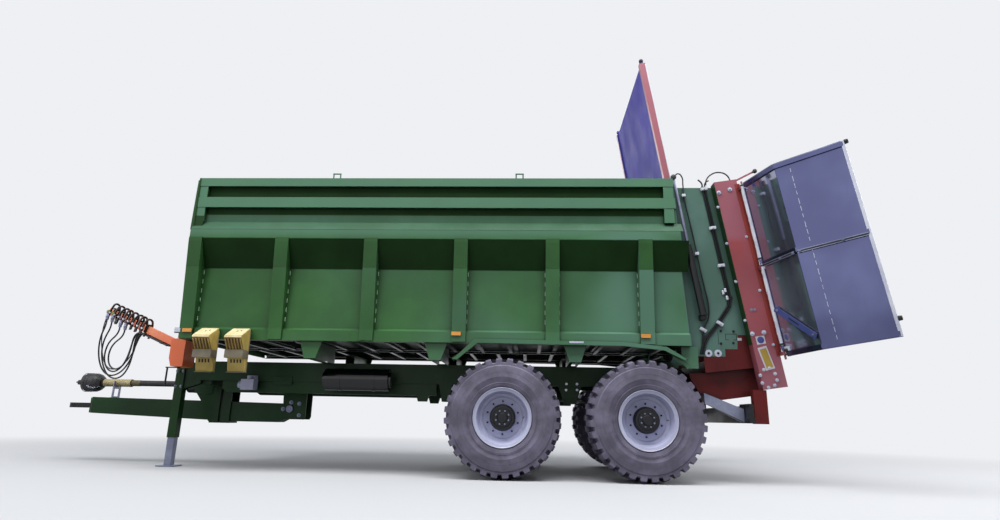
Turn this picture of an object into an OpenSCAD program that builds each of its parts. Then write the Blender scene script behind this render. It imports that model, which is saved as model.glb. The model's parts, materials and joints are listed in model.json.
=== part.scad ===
// Towed tandem-axle manure spreader: a steel tub on a chassis, a chain floor,
// a lifting rear gate, two leaning beaters and two swing-out spread doors.
// +X points to the rear, +Y to the machine's right, +Z up. The origin is on the
// ground, below the middle of the whole machine.

/* [Wheels] */
// Outer diameter of a tyre over its lugs
tyre_d = 1230; // [1150:10:1300]
// Width of a tyre
tyre_w = 560; // [480:10:600]
// Outer diameter of a rim's flange
rim_d = 606; // [560:2:640]
// Lugs on each shoulder of a tyre
lug_count = 32; // [24:1:36]
// Height of a lug
lug_h = 42; // [20:1:50]
// Place of the front axle, along X
axle_x = 970; // [900:10:1050]
// Distance between the two axles
axle_spacing = 1490; // [1450:10:1600]
// Distance between the middles of the left and right tyres
track_w = 1930; // [1880:10:1980]

/* [Body] */
// Front face of the tub, along X
front_x = -2600; // [-2700:10:-2500]
// Rear end of the side walls at their top, along X
wall_rear_x = 2838; // [2780:1:2880]
// Height of the sill's underside over the ground
sill_z = 1385; // [1360:5:1420]
// Height of the sill
sill_h = 140; // [100:5:160]
// Height of the kink in the side walls
kink_z = 2190; // [2100:10:2300]
// Height of the waist rail's underside
waist_z = 2520; // [2450:10:2560]
// Height of the waist rail
waist_h = 98; // [70:2:120]
// Height of the walls' top edge
wall_top_z = 3250; // [3150:10:3350]
// Half width over the waist rails
waist_y = 1250; // [1220:5:1275]
// Half width over the sills
sill_y = 1150; // [1120:5:1170]
// Half width over the lower panels, at the kink
kink_y = 1108; // [1080:2:1120]
// Half width over the upper panels
upper_y = 1165; // [1140:5:1180]
// Thickness of the wall sheets
wall_t = 5; // [4:0.5:8]
// Width of a wall rib
rib_w = 150; // [100:5:180]
// Middle of the first wall rib, along X
rib_x = -1532; // [-1600:2:-1450]
// Distance between wall ribs
rib_pitch = 1008; // [950:2:1020]
// Height of the floor's top over the sill's underside
floor_rise = 150; // [130:5:170]

/* [Chassis] */
// Half the distance between the middles of the chassis rails
rail_y = 460; // [420:5:480]
// Width of a chassis rail
rail_w = 90; // [80:5:100]
// Underside of the chassis rails
rail_z = 979; // [960:1:1000]
// Height of a chassis rail
rail_h = 220; // [180:5:230]
// Height of the drawbar's pivot over the ground
pivot_z = 669; // [640:1:700]
// Place of the drawbar's pivot, along X
pivot_x = -1685; // [-1750:5:-1620]
// Front tip of the tow eye, along X
eye_x = -4552; // [-4700:4:-4400]
// Height of the tow eye over the ground
eye_z = 668; // [640:1:700]
// Depth of the drawbar beam at its rear end
drawbar_h = 225; // [190:5:240]
// Width of the drawbar beam
drawbar_w = 180; // [150:5:200]
// Middle of the jack, along X
jack_x = -2900; // [-2960:5:-2840]

/* [Rear unit] */
// Lean of the gate, beaters and rear frame from the vertical, in degrees
lean = 8.6; // [7:0.1:10]
// Front face of the gate at the walls' top, along X
gate_x = 2812; // [2780:1:2830]
// Height of the gate
gate_h = 1965; // [1800:5:2050]
// Width of the gate
gate_w = 1990; // [1900:10:2040]
// Travel of the gate
gate_travel = 1340; // [1200:10:1400]
// Width of the red side frames, along the machine
frame_w = 256; // [200:2:300]
// Front edge of the red side frames at the walls' top, along X
frame_x = 3310; // [3280:2:3340]
// Outer face of the red side frames, across
frame_y = 1150; // [1120:2:1180]
// Distance between the beaters' axes
beater_gap = 1000; // [960:5:1040]
// Radius over a beater's tines
beater_r = 455; // [420:5:480]
// Starts of the flight on a beater
beater_starts = 2; // [1:1:3]
// Rise of a flight in one turn
flight_pitch = 640; // [400:10:800]
// Swing of an open spread door from straight back, in degrees
door_open = 72; // [60:1:80]
// Width of a door's first panel
door_w1 = 520; // [450:5:560]
// Width of a door's main panel
door_w2 = 660; // [600:5:700]
// Angle between a door's two panels, in degrees
door_bend = 36; // [30:1:40]
// Height of a door along its hinge
door_h = 1940; // [1800:10:2000]

/* [Hidden] */
EPS = 0.3;

// Colours, as red, green and blue
GREEN = [0.30, 0.50, 0.36];
DARK_GREEN = [0.12, 0.20, 0.12];
RED = [0.50, 0.20, 0.24];
BLUE = [0.36, 0.36, 0.66];
ZINC = [0.60, 0.62, 0.66];
RUBBER = [0.10, 0.10, 0.11];
SILVER = [0.62, 0.62, 0.66];
BLACK = [0.08, 0.08, 0.09];
YELLOW = [0.85, 0.75, 0.25];
ORANGE = [0.85, 0.45, 0.30];
CREAM = [0.75, 0.68, 0.50];

// Wheels
wheel_z = tyre_d / 2;
rear_axle_x = axle_x + axle_spacing;
wheel_y = track_w / 2;
rim_w = tyre_w - 60;
rim_t = 14;
hub_d = 270;
hub_bore_d = 90;
axle_box = 120;
stub_d = hub_bore_d - 0.1;

// Axles, springs and chassis
leaf_t = 16;
leaf_w = 60;
leaf_count = 4;
leaf_steps = 12;
leaf_step = 170;
leaf_camber = 90;
spring_half = 690;
spring_eye_d = 56;
spring_pin_d = 28;
spring_seat_z = wheel_z + axle_box / 2 + 4;
spring_eye_z = spring_seat_z + (leaf_count - 1) * (leaf_t - 0.3) + leaf_camber + leaf_t / 2;
rail_top = rail_z + rail_h;
chassis_x = -2640;
chassis_end_x = 3235;
chassis_step_x = 2980;
bed_clear_z = 1105;
front_beam_z = 930;
cross_x = [235, (axle_x + rear_axle_x) / 2, 2890];
clamp_x = [-2680, -2540];
clamp_w = 110;
pivot_d = 60;
pin_half = drawbar_w / 2 + 17 + EPS;
drawbar_x = eye_x + 334;
drawbar_low_z = pivot_z - 160;
drawbar_front = [drawbar_low_z + 68, drawbar_low_z + drawbar_h + 36];
buffer_x = (clamp_x[0] + clamp_x[1] + clamp_w) / 2;
buffer_z = drawbar_low_z + drawbar_h + 16;
support_z = drawbar_front[1] - 1;
sub_beam_x = [-2375, 170];
sub_beam_z = 845;
drop_x = [-61, 81];
drop_z = 778;
eye_d = 110;
eye_bore = 50;
jack_w = 96;
jack_y = rail_y;
jack_leg_w = jack_w - 16 - 2 * EPS;
jack_low_z = 320;
jack_top_z = 1150;
pto_x = -4500;
pto_z = 950;
pto_len = 1590;
shaft_line_z = 1089;
shaft_line_d = 70;

// Body
floor_z = sill_z + floor_rise;
post_w = 110;
window_w = 1400;
window_z = 2700;
window_h = 350;
hoop_x = [-1000, 1120];
beam_count = 12;
front_shaft_x = front_x + 120;
rear_shaft_x = 3160;
shaft_z = floor_z - 57.7;
chain_in_y = 110;
chain_out_y = 920;
sprocket_r = 58;
chain_t = 16;
slat_count = 16;
slat_pitch = 342;
bracket_x = [-1140, 232, 1735];
bracket_half = [122, 61];
bracket_y = sill_y - 40;
guard_y = [sill_y - 75, sill_y - 15];
guard_x0 = axle_x + 65 - tyre_d / 2;
guard_x1 = rear_axle_x + tyre_d / 2 - 150;
guard_z = [wheel_z + 603, wheel_z + 553];
guard_low_z = wheel_z + 540;
floor_t = 6;
beam_h = 62;
rail_out = 50;
top_rail_h = 99;
mid_rail_z = 2894;
mid_rail_h = 122;
rib_count = 5;
wall_slope = 0.06;
inner_y = kink_y - wall_t;
wall_rear_low_x = wall_rear_x + (wall_top_z - sill_z) * wall_slope;

// Rear unit: distances along the lean start at the walls' top
rear_run = tan(lean);
gate_t = 70;
edge_w = 70;
guide_t = 20;
guide_gap = 8;
guide_in_y = gate_w / 2 - 35;
gate_low_closed = (floor_z + 47 - wall_top_z) / cos(lean);
gate_low = gate_low_closed + gate_travel;
frame_low_z = 940;
housing_y = 1030;
plate_t = 8;
beater_x = frame_x + frame_w / 2;
lift_ratio = 2;
rod_travel = gate_travel / lift_ratio;
rod_d = 36;
rod_eye_l = 50;
rod_len = 880;
piston_h = 40;
barrel_d = 75;
barrel_h = 780;
barrel_low = -1535;
cylinder_x = gate_x + gate_t / 2 + 30;
cylinder_y = frame_y - 35;
beam_half = 110;
beam_low = -140;
bed_top = -1940;
bed_front = 620;
disc_l = bed_top + 45;
beater_h = beam_low - 60 - disc_l;
drum_r = 84;
shaft_d = 60;
shaft_bore = 60.1;
tine_len = 90;
flight_steps = 48;
flight_t = 10;
flight_h = beater_h - 260;
pan_y = 950;
pan_x0 = rear_axle_x + tyre_d - 731;
leg_x = 3552;
leg_w = 138;
door_t = 4;
door_top = 55;
door_edge = 34;
hinge_d = 22;
hinge_off = 30;
hinge_x = frame_x + frame_w + hinge_off;
hinge_y = frame_y + 45;
frame_hinge_y = 55;
hinge_at = [40, door_h / 2, door_h - 40];
knuckle_at = [[66, door_h / 2 - 26], [door_h / 2 + 26, door_h - 66]];
door_rib_at = [60, door_h / 2 - 10, door_h - 10];
stay_near = [45, -1490];
stay_far = [door_w1 - 20, -1866];
stay_w = 62;

// Front equipment
tank_x = -1070;
tank_len = 730;
tank_d = 244;
tank_y = 690;
tank_z = 1001;
valve_x = -2080;
valve_y = 600;
valve_z = 930;
chock_x = [-2440, -2079];
chock_w = 245;
chock_t = 95;
chock_z = 1040;
chock_h = 460;
box_x = -2820;
box_rod_x = box_x - 70;
arm_root = 75;
box_y = 800;
box_w = 240;
box_z = 1105;
box_h = 330;
arm_from = [-2860, -box_y + 10, box_z + box_h - 50];
arm_to = [-3900, -506, 1785];
arm_w = 30;
arm_h = 85;
arm_run = arm_to - arm_from;
arm_len = norm(arm_run);
arm_turn = [0, -asin(arm_run[2] / arm_len), atan2(arm_run[1], arm_run[0])];
holder_count = 8;
holder_from = 461;
holder_pitch = 84;
hose_d = 18;
lead_d = 12;
hose_low = -arm_h / 2 - 11.5;
fitting_d = 34;
fitting_h = 110;
hose_sides = 8;
lamp_x = [front_x + 45, rib_x + 2 * rib_pitch - 75, rib_x + 4 * rib_pitch - 75];
lamp_z = sill_z + 72;

// Distance along X, at a height, of what stands at x_top at the walls' top and leans
function lean_x(x_top, z) = x_top + (wall_top_z - z) * rear_run;

// A folded sheet's outline: the path, then the same path moved by its thickness
function edge_normal(a, b) = [a[1] - b[1], b[0] - a[0]] / norm(b - a);
function fold_shift(p, i) =
    i == 0 ? edge_normal(p[0], p[1])
    : i == len(p) - 1 ? edge_normal(p[i - 1], p[i])
    : let (a = edge_normal(p[i - 1], p[i]), b = edge_normal(p[i], p[i + 1])) (a + b) / (1 + a * b);
function folded(p, t) = concat(p, [for (i = [len(p) - 1:-1:0]) p[i] + t * fold_shift(p, i)]);

// A box from its low corner to its high corner
module block(low, high) {
    translate(low) cube(high - low);
}

// A profile drawn in Y and Z, run along X
module along_x(x0, x1) {
    translate([x0, 0, 0]) rotate([90, 0, 90]) linear_extrude(x1 - x0) children();
}

// A profile drawn in X and Z, run along Y
module along_y(y0, y1) {
    translate([0, y1, 0]) rotate([90, 0, 0]) linear_extrude(y1 - y0) children();
}

// The same piece on the machine's left, at minus Y
module on_left() {
    mirror([0, 1, 0]) children();
}

// A piece drawn upright over the walls' top point of x_top, then leaned about it
module leaned(x_top, y = 0) {
    translate([x_top, y, wall_top_z]) rotate([0, -lean, 0]) children();
}

// A round bar along X, Y or Z
module bar_x(x0, x1, y, z, d, sides = 32) {
    translate([x0, y, z]) rotate([0, 90, 0]) cylinder(h = x1 - x0, d = d, $fn = sides);
}
module bar_y(x, y0, y1, z, d, sides = 32) {
    translate([x, y1, z]) rotate([90, 0, 0]) cylinder(h = y1 - y0, d = d, $fn = sides);
}
module bar_z(x, y, z0, z1, d, sides = 32) {
    translate([x, y, z0]) cylinder(h = z1 - z0, d = d, $fn = sides);
}

// Tyres: a carcass, and two staggered rings of block lugs
shoulder_r = tyre_d / 2 - lug_h - 8;
bead_r = rim_d / 2 - 20;
lug_ring_w = tyre_w / 2 - 20;
function lug_outline(r_low, r_high, count) = [
    for (i = [0:count - 1])
        for (c = [[0.04, r_low], [0.14, r_high], [0.60, r_high], [0.70, r_low]])
            let (a = (i + c[0]) * 360 / count) c[1] * [cos(a), sin(a)]
];
module tyre_carcass() {
    half = tyre_w / 2;
    seat = rim_w / 2 - 18 - EPS;
    rotate_extrude($fn = 64)
        polygon([
            [bead_r, -seat], [rim_d / 2 + 1, -seat - 14], [rim_d / 2 + 14, -seat - 26],
            [rim_d / 2 + 110, -half],
            [shoulder_r - 40, -half + 12], [shoulder_r, -half + 45], [shoulder_r + 10, 0],
            [shoulder_r, half - 45], [shoulder_r - 40, half - 12], [rim_d / 2 + 110, half],
            [rim_d / 2 + 14, seat + 26], [rim_d / 2 + 1, seat + 14], [bead_r, seat]
        ]);
}
module lug_ring() {
    intersection() {
        linear_extrude(lug_ring_w) polygon(lug_outline(shoulder_r - 12, tyre_d / 2, lug_count));
        rotate_extrude($fn = 64)
            polygon([
                [shoulder_r - 60, -1], [tyre_d / 2 + 5, -1], [tyre_d / 2 + 5, 10],
                [tyre_d / 2, lug_ring_w - 90],
                [tyre_d / 2 - 26, lug_ring_w + 1], [shoulder_r - 60, lug_ring_w + 1]
            ]);
    }
}
module tyre(x, y) {
    color(RUBBER)
        translate([x, y, wheel_z])
            rotate([90, 0, 0]) {
                tyre_carcass();
                lug_ring();
                rotate([0, 0, 180 / lug_count]) mirror([0, 0, 1]) lug_ring();
            }
}

// Rims: flange and drop well, the dished disc and the hub in one revolved form
module rim_form() {
    half = rim_w / 2;
    bead = bead_r - 1;
    rotate_extrude($fn = 64)
        polygon([
            [hub_bore_d / 2, -120], [hub_d / 2 - 20, -120], [hub_d / 2, -100], [hub_d / 2, 80],
            [210, 80], [228, 100], [bead - 60, 100], [bead - 30, 60], [bead - rim_t, -half + 40],
            [bead - rim_t, -half], [rim_d / 2 - 4, -half - 8], [rim_d / 2, -half + 4],
            [bead, -half + 18], [bead, -half + 60], [bead - 12, -half + 90], [bead - 12, half - 90],
            [bead, half - 60], [bead, half - 18], [rim_d / 2, half - 4], [rim_d / 2 - 4, half + 8],
            [bead - rim_t, half], [bead - rim_t - 12, half - 80], [bead - 40, 130],
            [bead - 66, 118], [228, 118], [206, 98], [hub_d / 2, 98], [hub_d / 2, 120],
            [hub_d / 2 - 12, 190], [hub_bore_d / 2, 196]
        ]);
}
module rim(x, y, outward) {
    color(SILVER)
        translate([x, y, wheel_z])
            rotate([outward * 90, 0, 0])
                rim_form();
}

// Axles: a square beam with round stubs that carry the hubs
module axle(x) {
    beam_y = wheel_y - 150;
    color(DARK_GREEN) {
        block([x - axle_box / 2, -beam_y, wheel_z - axle_box / 2],
            [x + axle_box / 2, beam_y, wheel_z + axle_box / 2]);
        bar_y(x, -wheel_y - 185, wheel_y + 185, wheel_z, stub_d);
        for (side = [-1, 1])
            bar_y(x, side * (beam_y + 4) - 10, side * (beam_y + 4) + 10, wheel_z, 200);
    }
}

module axles() {
    axle(axle_x);
    axle(rear_axle_x);
}

// Leaf springs: one over each end of each axle
module leaf(half, z_low) {
    low = [for (i = [0:leaf_steps]) let (x = half * (2 * i / leaf_steps - 1))
        [x, z_low + leaf_camber * pow(x / spring_half, 2)]];
    polygon(concat(low, [for (i = [leaf_steps:-1:0]) low[i] + [0, leaf_t]]));
}
module leaf_spring(x, y) {
    translate([x, 0, 0])
        difference() {
            union() {
                along_y(y - leaf_w / 2, y + leaf_w / 2)
                    for (i = [0:leaf_count - 1])
                        leaf(spring_half - i * leaf_step,
                            spring_seat_z + (leaf_count - 1 - i) * (leaf_t - EPS));
                for (s = [-1, 1])
                    bar_y(s * spring_half, y - leaf_w / 2, y + leaf_w / 2, spring_eye_z, spring_eye_d);
            }
            for (s = [-1, 1])
                bar_y(s * spring_half, y - leaf_w, y + leaf_w, spring_eye_z, spring_pin_d + 0.4);
        }
    block([x - 70, y - leaf_w / 2 - 12, spring_seat_z - 4],
        [x + 70, y + leaf_w / 2 + 12, spring_seat_z + 1]);
}
module leaf_springs() {
    color(BLACK)
        for (x = [axle_x, rear_axle_x])
            for (s = [-1, 1])
                leaf_spring(x, s * rail_y);
}

// Spring hangers: pairs of cheeks below the chassis rails, round the spring eyes
module hanger(x, half_top, half_low, y) {
    for (s = [-1, 1]) {
        y0 = y + s * (leaf_w / 2 + 6.5);
        along_y(y0 - 4.5, y0 + 4.5)
            polygon([
                [x - half_top, rail_z - EPS], [x + half_top, rail_z - EPS],
                [x + half_low, spring_eye_z - 45], [x - half_low, spring_eye_z - 45]
            ]);
    }
    block([x - half_top, y - leaf_w / 2 - 10, rail_z - 10],
        [x + half_top, y + leaf_w / 2 + 10, rail_z - EPS]);
}
module spring_hangers() {
    middle = (axle_x + rear_axle_x) / 2;
    color(DARK_GREEN)
        for (s = [-1, 1]) {
            hanger(axle_x - spring_half, 80, 40, s * rail_y);
            hanger(middle, 130, 70, s * rail_y);
            hanger(rear_axle_x + spring_half, 80, 40, s * rail_y);
            for (x = [axle_x - spring_half, axle_x + spring_half, rear_axle_x - spring_half, rear_axle_x + spring_half])
                bar_y(x, s * rail_y - leaf_w / 2 - 20, s * rail_y + leaf_w / 2 + 20,
                    spring_eye_z, spring_pin_d);
        }
}

// Bracket that carries the jack on the front end of the left rail
module jack_bracket() {
    x0 = jack_x + jack_w / 2 + EPS;
    for (s = [-1, 1])
        along_y(-jack_y + s * (rail_w / 2 - 6) - 6, -jack_y + s * (rail_w / 2 - 6) + 6)
            polygon([[x0, rail_top - 30], [chassis_x + 1, rail_top - 5],
                [chassis_x + 1, front_beam_z + 10], [x0, front_beam_z - 60]]);
    block([x0, -jack_y - rail_w / 2 - 20, front_beam_z - 70],
        [x0 + 14, -jack_y + rail_w / 2 + 20, rail_top - 20]);
}

// Chassis: two rails on lower beams, their cross beams, the jack's bracket and the drawbar's pivot plates
module chassis() {
    color(DARK_GREEN) {
        jack_bracket();
        for (s = [-1, 1]) {
            along_y(s * rail_y - rail_w / 2, s * rail_y + rail_w / 2)
                polygon([
                    [chassis_x, rail_z], [chassis_end_x, rail_z], [chassis_end_x, bed_clear_z],
                    [chassis_step_x + 80, bed_clear_z], [chassis_step_x, rail_top], [chassis_x, rail_top]
                ]);
            along_y(s * rail_y - 30, s * rail_y + 30)
                polygon([
                    [sub_beam_x[0], sub_beam_z + 40], [sub_beam_x[0] + 60, sub_beam_z],
                    [drop_x[0], sub_beam_z],
                    [drop_x[0] + 20, drop_z], [drop_x[1] - 20, drop_z], [drop_x[1], sub_beam_z],
                    [sub_beam_x[1], sub_beam_z], [sub_beam_x[1], rail_z + 1], [sub_beam_x[0], rail_z + 1]
                ]);
            difference() {
                along_y(s * (drawbar_w / 2 + 9) - 8, s * (drawbar_w / 2 + 9) + 8)
                    polygon([
                        [pivot_x - 80, pivot_z - 90], [pivot_x - 56, pivot_z - 123],
                        [pivot_x + 183, pivot_z - 123],
                        [pivot_x + 198, pivot_z - 90], [pivot_x + 198, rail_z + 1],
                        [pivot_x - 105, rail_z + 1]
                    ]);
                bar_y(pivot_x, s * drawbar_w / 2 - 30, s * drawbar_w / 2 + 30, pivot_z, pivot_d);
            }
        }
        block([pivot_x - 105, -rail_y, rail_z], [pivot_x + 198, rail_y, rail_z + 60]);
        block([chassis_end_x - 60, -rail_y, rail_z], [chassis_end_x, rail_y, bed_clear_z - 20]);
        difference() {
            union() {
                block([chassis_x, -rail_y, front_beam_z], [chassis_x + 110, rail_y, rail_top]);
                for (x = cross_x)
                    block([x - 50, -rail_y, rail_z + 40], [x + 50, rail_y, rail_top - 40]);
            }
            bar_x(chassis_x - 10, cross_x[2] + 60, 0, shaft_line_z, shaft_line_d + 4);
        }
    }
}

// Drawbar: a box beam that deepens to the rear, with its pivot eye and pads for the buffer and the shaft's support
module drawbar() {
    color(DARK_GREEN)
        difference() {
            union() {
                along_y(-drawbar_w / 2, drawbar_w / 2)
                    polygon([
                        [drawbar_x, drawbar_front[0]], [pivot_x - 715, drawbar_low_z],
                        [pivot_x - 130, drawbar_low_z],
                        [pivot_x - 60, drawbar_low_z + 37], [pivot_x - 60, drawbar_low_z + drawbar_h],
                        [drawbar_x, drawbar_front[1]]
                    ]);
                bar_y(pivot_x, -drawbar_w / 2, drawbar_w / 2, pivot_z, 110);
                block([pivot_x - 70, -drawbar_w / 2, pivot_z - 45],
                    [pivot_x, drawbar_w / 2, pivot_z + 45]);
                block([buffer_x - 75, -65, buffer_z - 60], [buffer_x + 75, 65, buffer_z]);
                block([pto_x + 485, -78, support_z - 60], [pto_x + 537, 78, support_z]);
            }
            bar_y(pivot_x, -drawbar_w, drawbar_w, pivot_z, pivot_d);
        }
}
module drawbar_pins() {
    color(ZINC) {
        bar_y(pivot_x, -pin_half, pin_half, pivot_z, pivot_d - 0.6);
        bar_y(pivot_x, -pin_half - 12, -pin_half, pivot_z, 70);
        bar_y(pivot_x, pin_half, pin_half + 12, pivot_z, 70);
    }
}
// Drawbar suspension: two yokes round the beam below the front cross beam, with a rubber buffer on top
module drawbar_yokes() {
    inner = drawbar_w / 2 + 6;
    low = drawbar_low_z - 3;
    color(DARK_GREEN) {
        for (x = clamp_x)
            along_x(x, x + clamp_w)
                difference() {
                    block2([-inner - 16, low - 18], [inner + 16, front_beam_z - EPS]);
                    block2([-inner, low], [inner, front_beam_z - 40]);
                }
        for (s = [-1, 1])
            along_y(s * (inner + 8) - 8, s * (inner + 8) + 8)
                polygon([
                    [clamp_x[0] - 200, pto_z - 112], [clamp_x[0] - 45, low + 125], [clamp_x[0] - 12, low],
                    [clamp_x[0] + 1, low], [clamp_x[0] + 1, pto_z - 112]
                ]);
    }
}
module drawbar_buffer() {
    color(BLACK)
        bar_z(buffer_x, 0, buffer_z + EPS, front_beam_z - 40 - EPS, 130);
}
module tow_eye() {
    color(BLACK)
        difference() {
            union() {
                bar_z(eye_x + eye_d / 2, 0, eye_z - 30, eye_z + 30, eye_d);
                block([eye_x + eye_d / 2, -45, eye_z - 30], [drawbar_x - 25, 45, eye_z + 30]);
                block([drawbar_x - 26, -80, eye_z - 88], [drawbar_x, 80, eye_z + 95]);
            }
            bar_z(eye_x + eye_d / 2, 0, eye_z - 40, eye_z + 40, eye_bore);
        }
}

// Jack: a square tube on the drawbar's left side, with a sliding leg and foot
module jack_tube() {
    color(GREEN) {
        difference() {
            block([jack_x - jack_w / 2, -jack_y - jack_w / 2, jack_low_z],
                [jack_x + jack_w / 2, -jack_y + jack_w / 2, jack_top_z]);
            block([jack_x - jack_w / 2 + 8, -jack_y - jack_w / 2 + 8, jack_low_z - 1],
                  [jack_x + jack_w / 2 - 8, -jack_y + jack_w / 2 - 8, jack_top_z - 8]);
        }
        bar_y(jack_x, -jack_y - jack_w / 2 - 30, -jack_y - jack_w / 2 + 1, jack_top_z - 70, 30);
    }
}
module jack_leg() {
    color(ZINC) {
        block([jack_x - jack_leg_w / 2, -jack_y - jack_leg_w / 2, 12],
              [jack_x + jack_leg_w / 2, -jack_y + jack_leg_w / 2, jack_low_z + 520]);
        block([jack_x - 100, -jack_y - 100, 0], [jack_x + 100, -jack_y + 100, 13]);
    }
}
// Drive shaft guard in front, its support, and the closed driveline below the floor
module pto_shaft() {
    translate([pto_x, 0, pto_z])
        rotate([0, 90, 0]) {
            color(BLACK) {
                difference() {
                    cylinder(h = 90, d = 60, $fn = 32);
                    translate([0, 0, -1]) cylinder(h = 80, d = 36, $fn = 32);
                }
                for (s = [-1, 1])
                    translate([-8, s * 38 - 10, 0]) cube([16, 20, 120]);
                translate([0, 0, 80])
                    rotate_extrude($fn = 48)
                        polygon([
                            [0, 20], [72, 0], [98, 10], [114, 45], [114, 165],
                            [100, 205], [72, 240], [52, 244],
                            [52, 262], [0, 262]
                        ]);
            }
            color(CREAM) translate([0, 0, 341]) cylinder(h = 364, d = 92, $fn = 32);
            color(BLACK) translate([0, 0, 704]) cylinder(h = pto_len - 873, d = 72, $fn = 32);
            color(BLACK)
                translate([0, 0, pto_len - 170])
                    rotate_extrude($fn = 48) polygon([[0, 0], [60, 0], [105, 40], [105, 170], [0, 170]]);
        }
}
module pto_support() {
    color(ZINC)
        difference() {
            block([pto_x + 505, -72, support_z], [pto_x + 517, 72, pto_z + 20]);
            bar_x(pto_x + 495, pto_x + 527, 0, pto_z, 94);
            block([pto_x + 495, -47, pto_z], [pto_x + 527, 47, pto_z + 30]);
            block([pto_x + 495, -45, support_z + 14], [pto_x + 527, 45, pto_z - 75]);
        }
}
module driveline() {
    rear_x = cross_x[2] + 50 + EPS;
    color(DARK_GREEN) {
        block([pto_x + pto_len + EPS, -120, pto_z - 110], [clamp_x[0] - EPS, 120, shaft_line_z + 60]);
        block([clamp_x[0] - 1, -120, front_beam_z + EPS], [chassis_x - EPS, 120, shaft_line_z + 60]);
        block([rear_x, -110, shaft_line_z - 90], [rear_x + 110, 110, shaft_line_z + 60]);
    }
    color(BLACK)
        bar_x(chassis_x - 1, rear_x + 1, 0, shaft_line_z, shaft_line_d);
}

// Side walls: one folded sheet with the sill, the kink and the waist, two box rails, ribs and posts
wall_path = [
    [sill_y - 70, sill_z], [sill_y, sill_z], [sill_y, sill_z + sill_h - 25],
    [kink_y + 4, sill_z + sill_h],
    [kink_y, kink_z], [waist_y, waist_z], [waist_y, waist_z + waist_h],
    [upper_y, waist_z + waist_h + 110],
    [upper_y, wall_top_z - 2]
];
module wall_cut() {
    along_y(0, 1500)
        polygon([
            [wall_rear_x, wall_top_z + 100], [wall_rear_x, wall_top_z], [wall_rear_low_x, sill_z],
            [wall_rear_low_x, 0], [4500, 0], [4500, wall_top_z + 100]
        ]);
}
module wall_rib(x, w = rib_w) {
    along_x(x - w / 2, x + w / 2)
        polygon([
            [sill_y - 3, sill_z + 8], [sill_y + 22, sill_z + 8],
            [sill_y + 22, sill_z + 125], [waist_y + 6, waist_z - 40],
            [waist_y + 6, waist_z + 3],
            [waist_y - 3, waist_z + 3], [kink_y - 2, kink_z],
            [kink_y + 1, sill_z + sill_h], [sill_y - 3, sill_z + sill_h - 25]
        ]);
}
module side_wall() {
    difference() {
        union() {
            along_x(front_x, wall_rear_low_x) polygon(folded(wall_path, wall_t));
            along_x(front_x, wall_rear_low_x)
                polygon([[upper_y - 1, mid_rail_z], [upper_y + rail_out, mid_rail_z],
                    [upper_y + rail_out, mid_rail_z + mid_rail_h],
                    [upper_y - 1, mid_rail_z + mid_rail_h]]);
            along_x(front_x, wall_rear_low_x)
                block2([upper_y - 55, wall_top_z - top_rail_h], [upper_y + rail_out, wall_top_z]);
            for (x = [front_x, wall_rear_x - post_w])
                along_x(x, x + post_w)
                    block2([upper_y - 1, waist_z + waist_h + 108],
                        [upper_y + rail_out - 4, wall_top_z - 10]);
            for (i = [0:rib_count - 1]) wall_rib(min(rib_x + i * rib_pitch, wall_rear_x - rib_w));
            wall_rib(front_x + rib_w / 2);
            for (x = hoop_x)
                translate([x, upper_y, wall_top_z - 5]) hoop();
        }
        wall_cut();
    }
}
module block2(low, high) {
    translate(low) square(high - low);
}
module hoop() {
    for (s = [-1, 1]) translate([s * 40, 0, 0]) cylinder(h = 80, d = 16, $fn = 24);
    rotate([0, 90, 0]) translate([-77, 0, -48]) cylinder(h = 96, d = 16, $fn = 24);
}
module side_right() {
    color(GREEN) side_wall();
}
module side_left() {
    color(GREEN) on_left() side_wall();
}

// Front wall: a sheet between the sides with folded stiffeners and a barred look-in window
module front_wall() {
    half = concat(
        [[sill_y - 70 - EPS, sill_z], [sill_y - 70 - EPS, sill_z + sill_h]],
        [for (i = [3:7]) wall_path[i] + (wall_t + EPS) * fold_shift(wall_path, i)],
        [
            [upper_y - wall_t - EPS, wall_top_z - top_rail_h - EPS],
            [upper_y - 55 - EPS, wall_top_z - top_rail_h - EPS],
            [upper_y - 55 - EPS, wall_top_z]
        ]
    );
    color(GREEN) {
        difference() {
            along_x(front_x, front_x + wall_t)
                polygon(concat(half, [for (i = [len(half) - 1:-1:0]) [-half[i][0], half[i][1]]]));
            block([front_x - 5, -window_w / 2, window_z],
                [front_x + 20, window_w / 2, window_z + window_h]);
        }
        for (z = [floor_z + 90, kink_z - 60, window_z - 70, window_z + window_h, wall_top_z - 72])
            along_y(-inner_y + 20, inner_y - 20)
                polygon(folded([[front_x + 1, z], [front_x - 50, z + 10],
                    [front_x - 50, z + 60], [front_x + 1, z + 70]], -4));
        for (y = [-window_w / 2 + 100:100:window_w / 2 - 100])
            bar_z(front_x + wall_t / 2, y, window_z - 2, window_z + window_h + 2, 14, 16);
        along_y(-inner_y + 2, inner_y - 2)
            polygon(folded([[front_x + wall_t - 1, floor_z + 150],
                [front_shaft_x + 60, floor_z + 62], [front_shaft_x + 90, floor_z + 62]], 4));
    }
}

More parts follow.
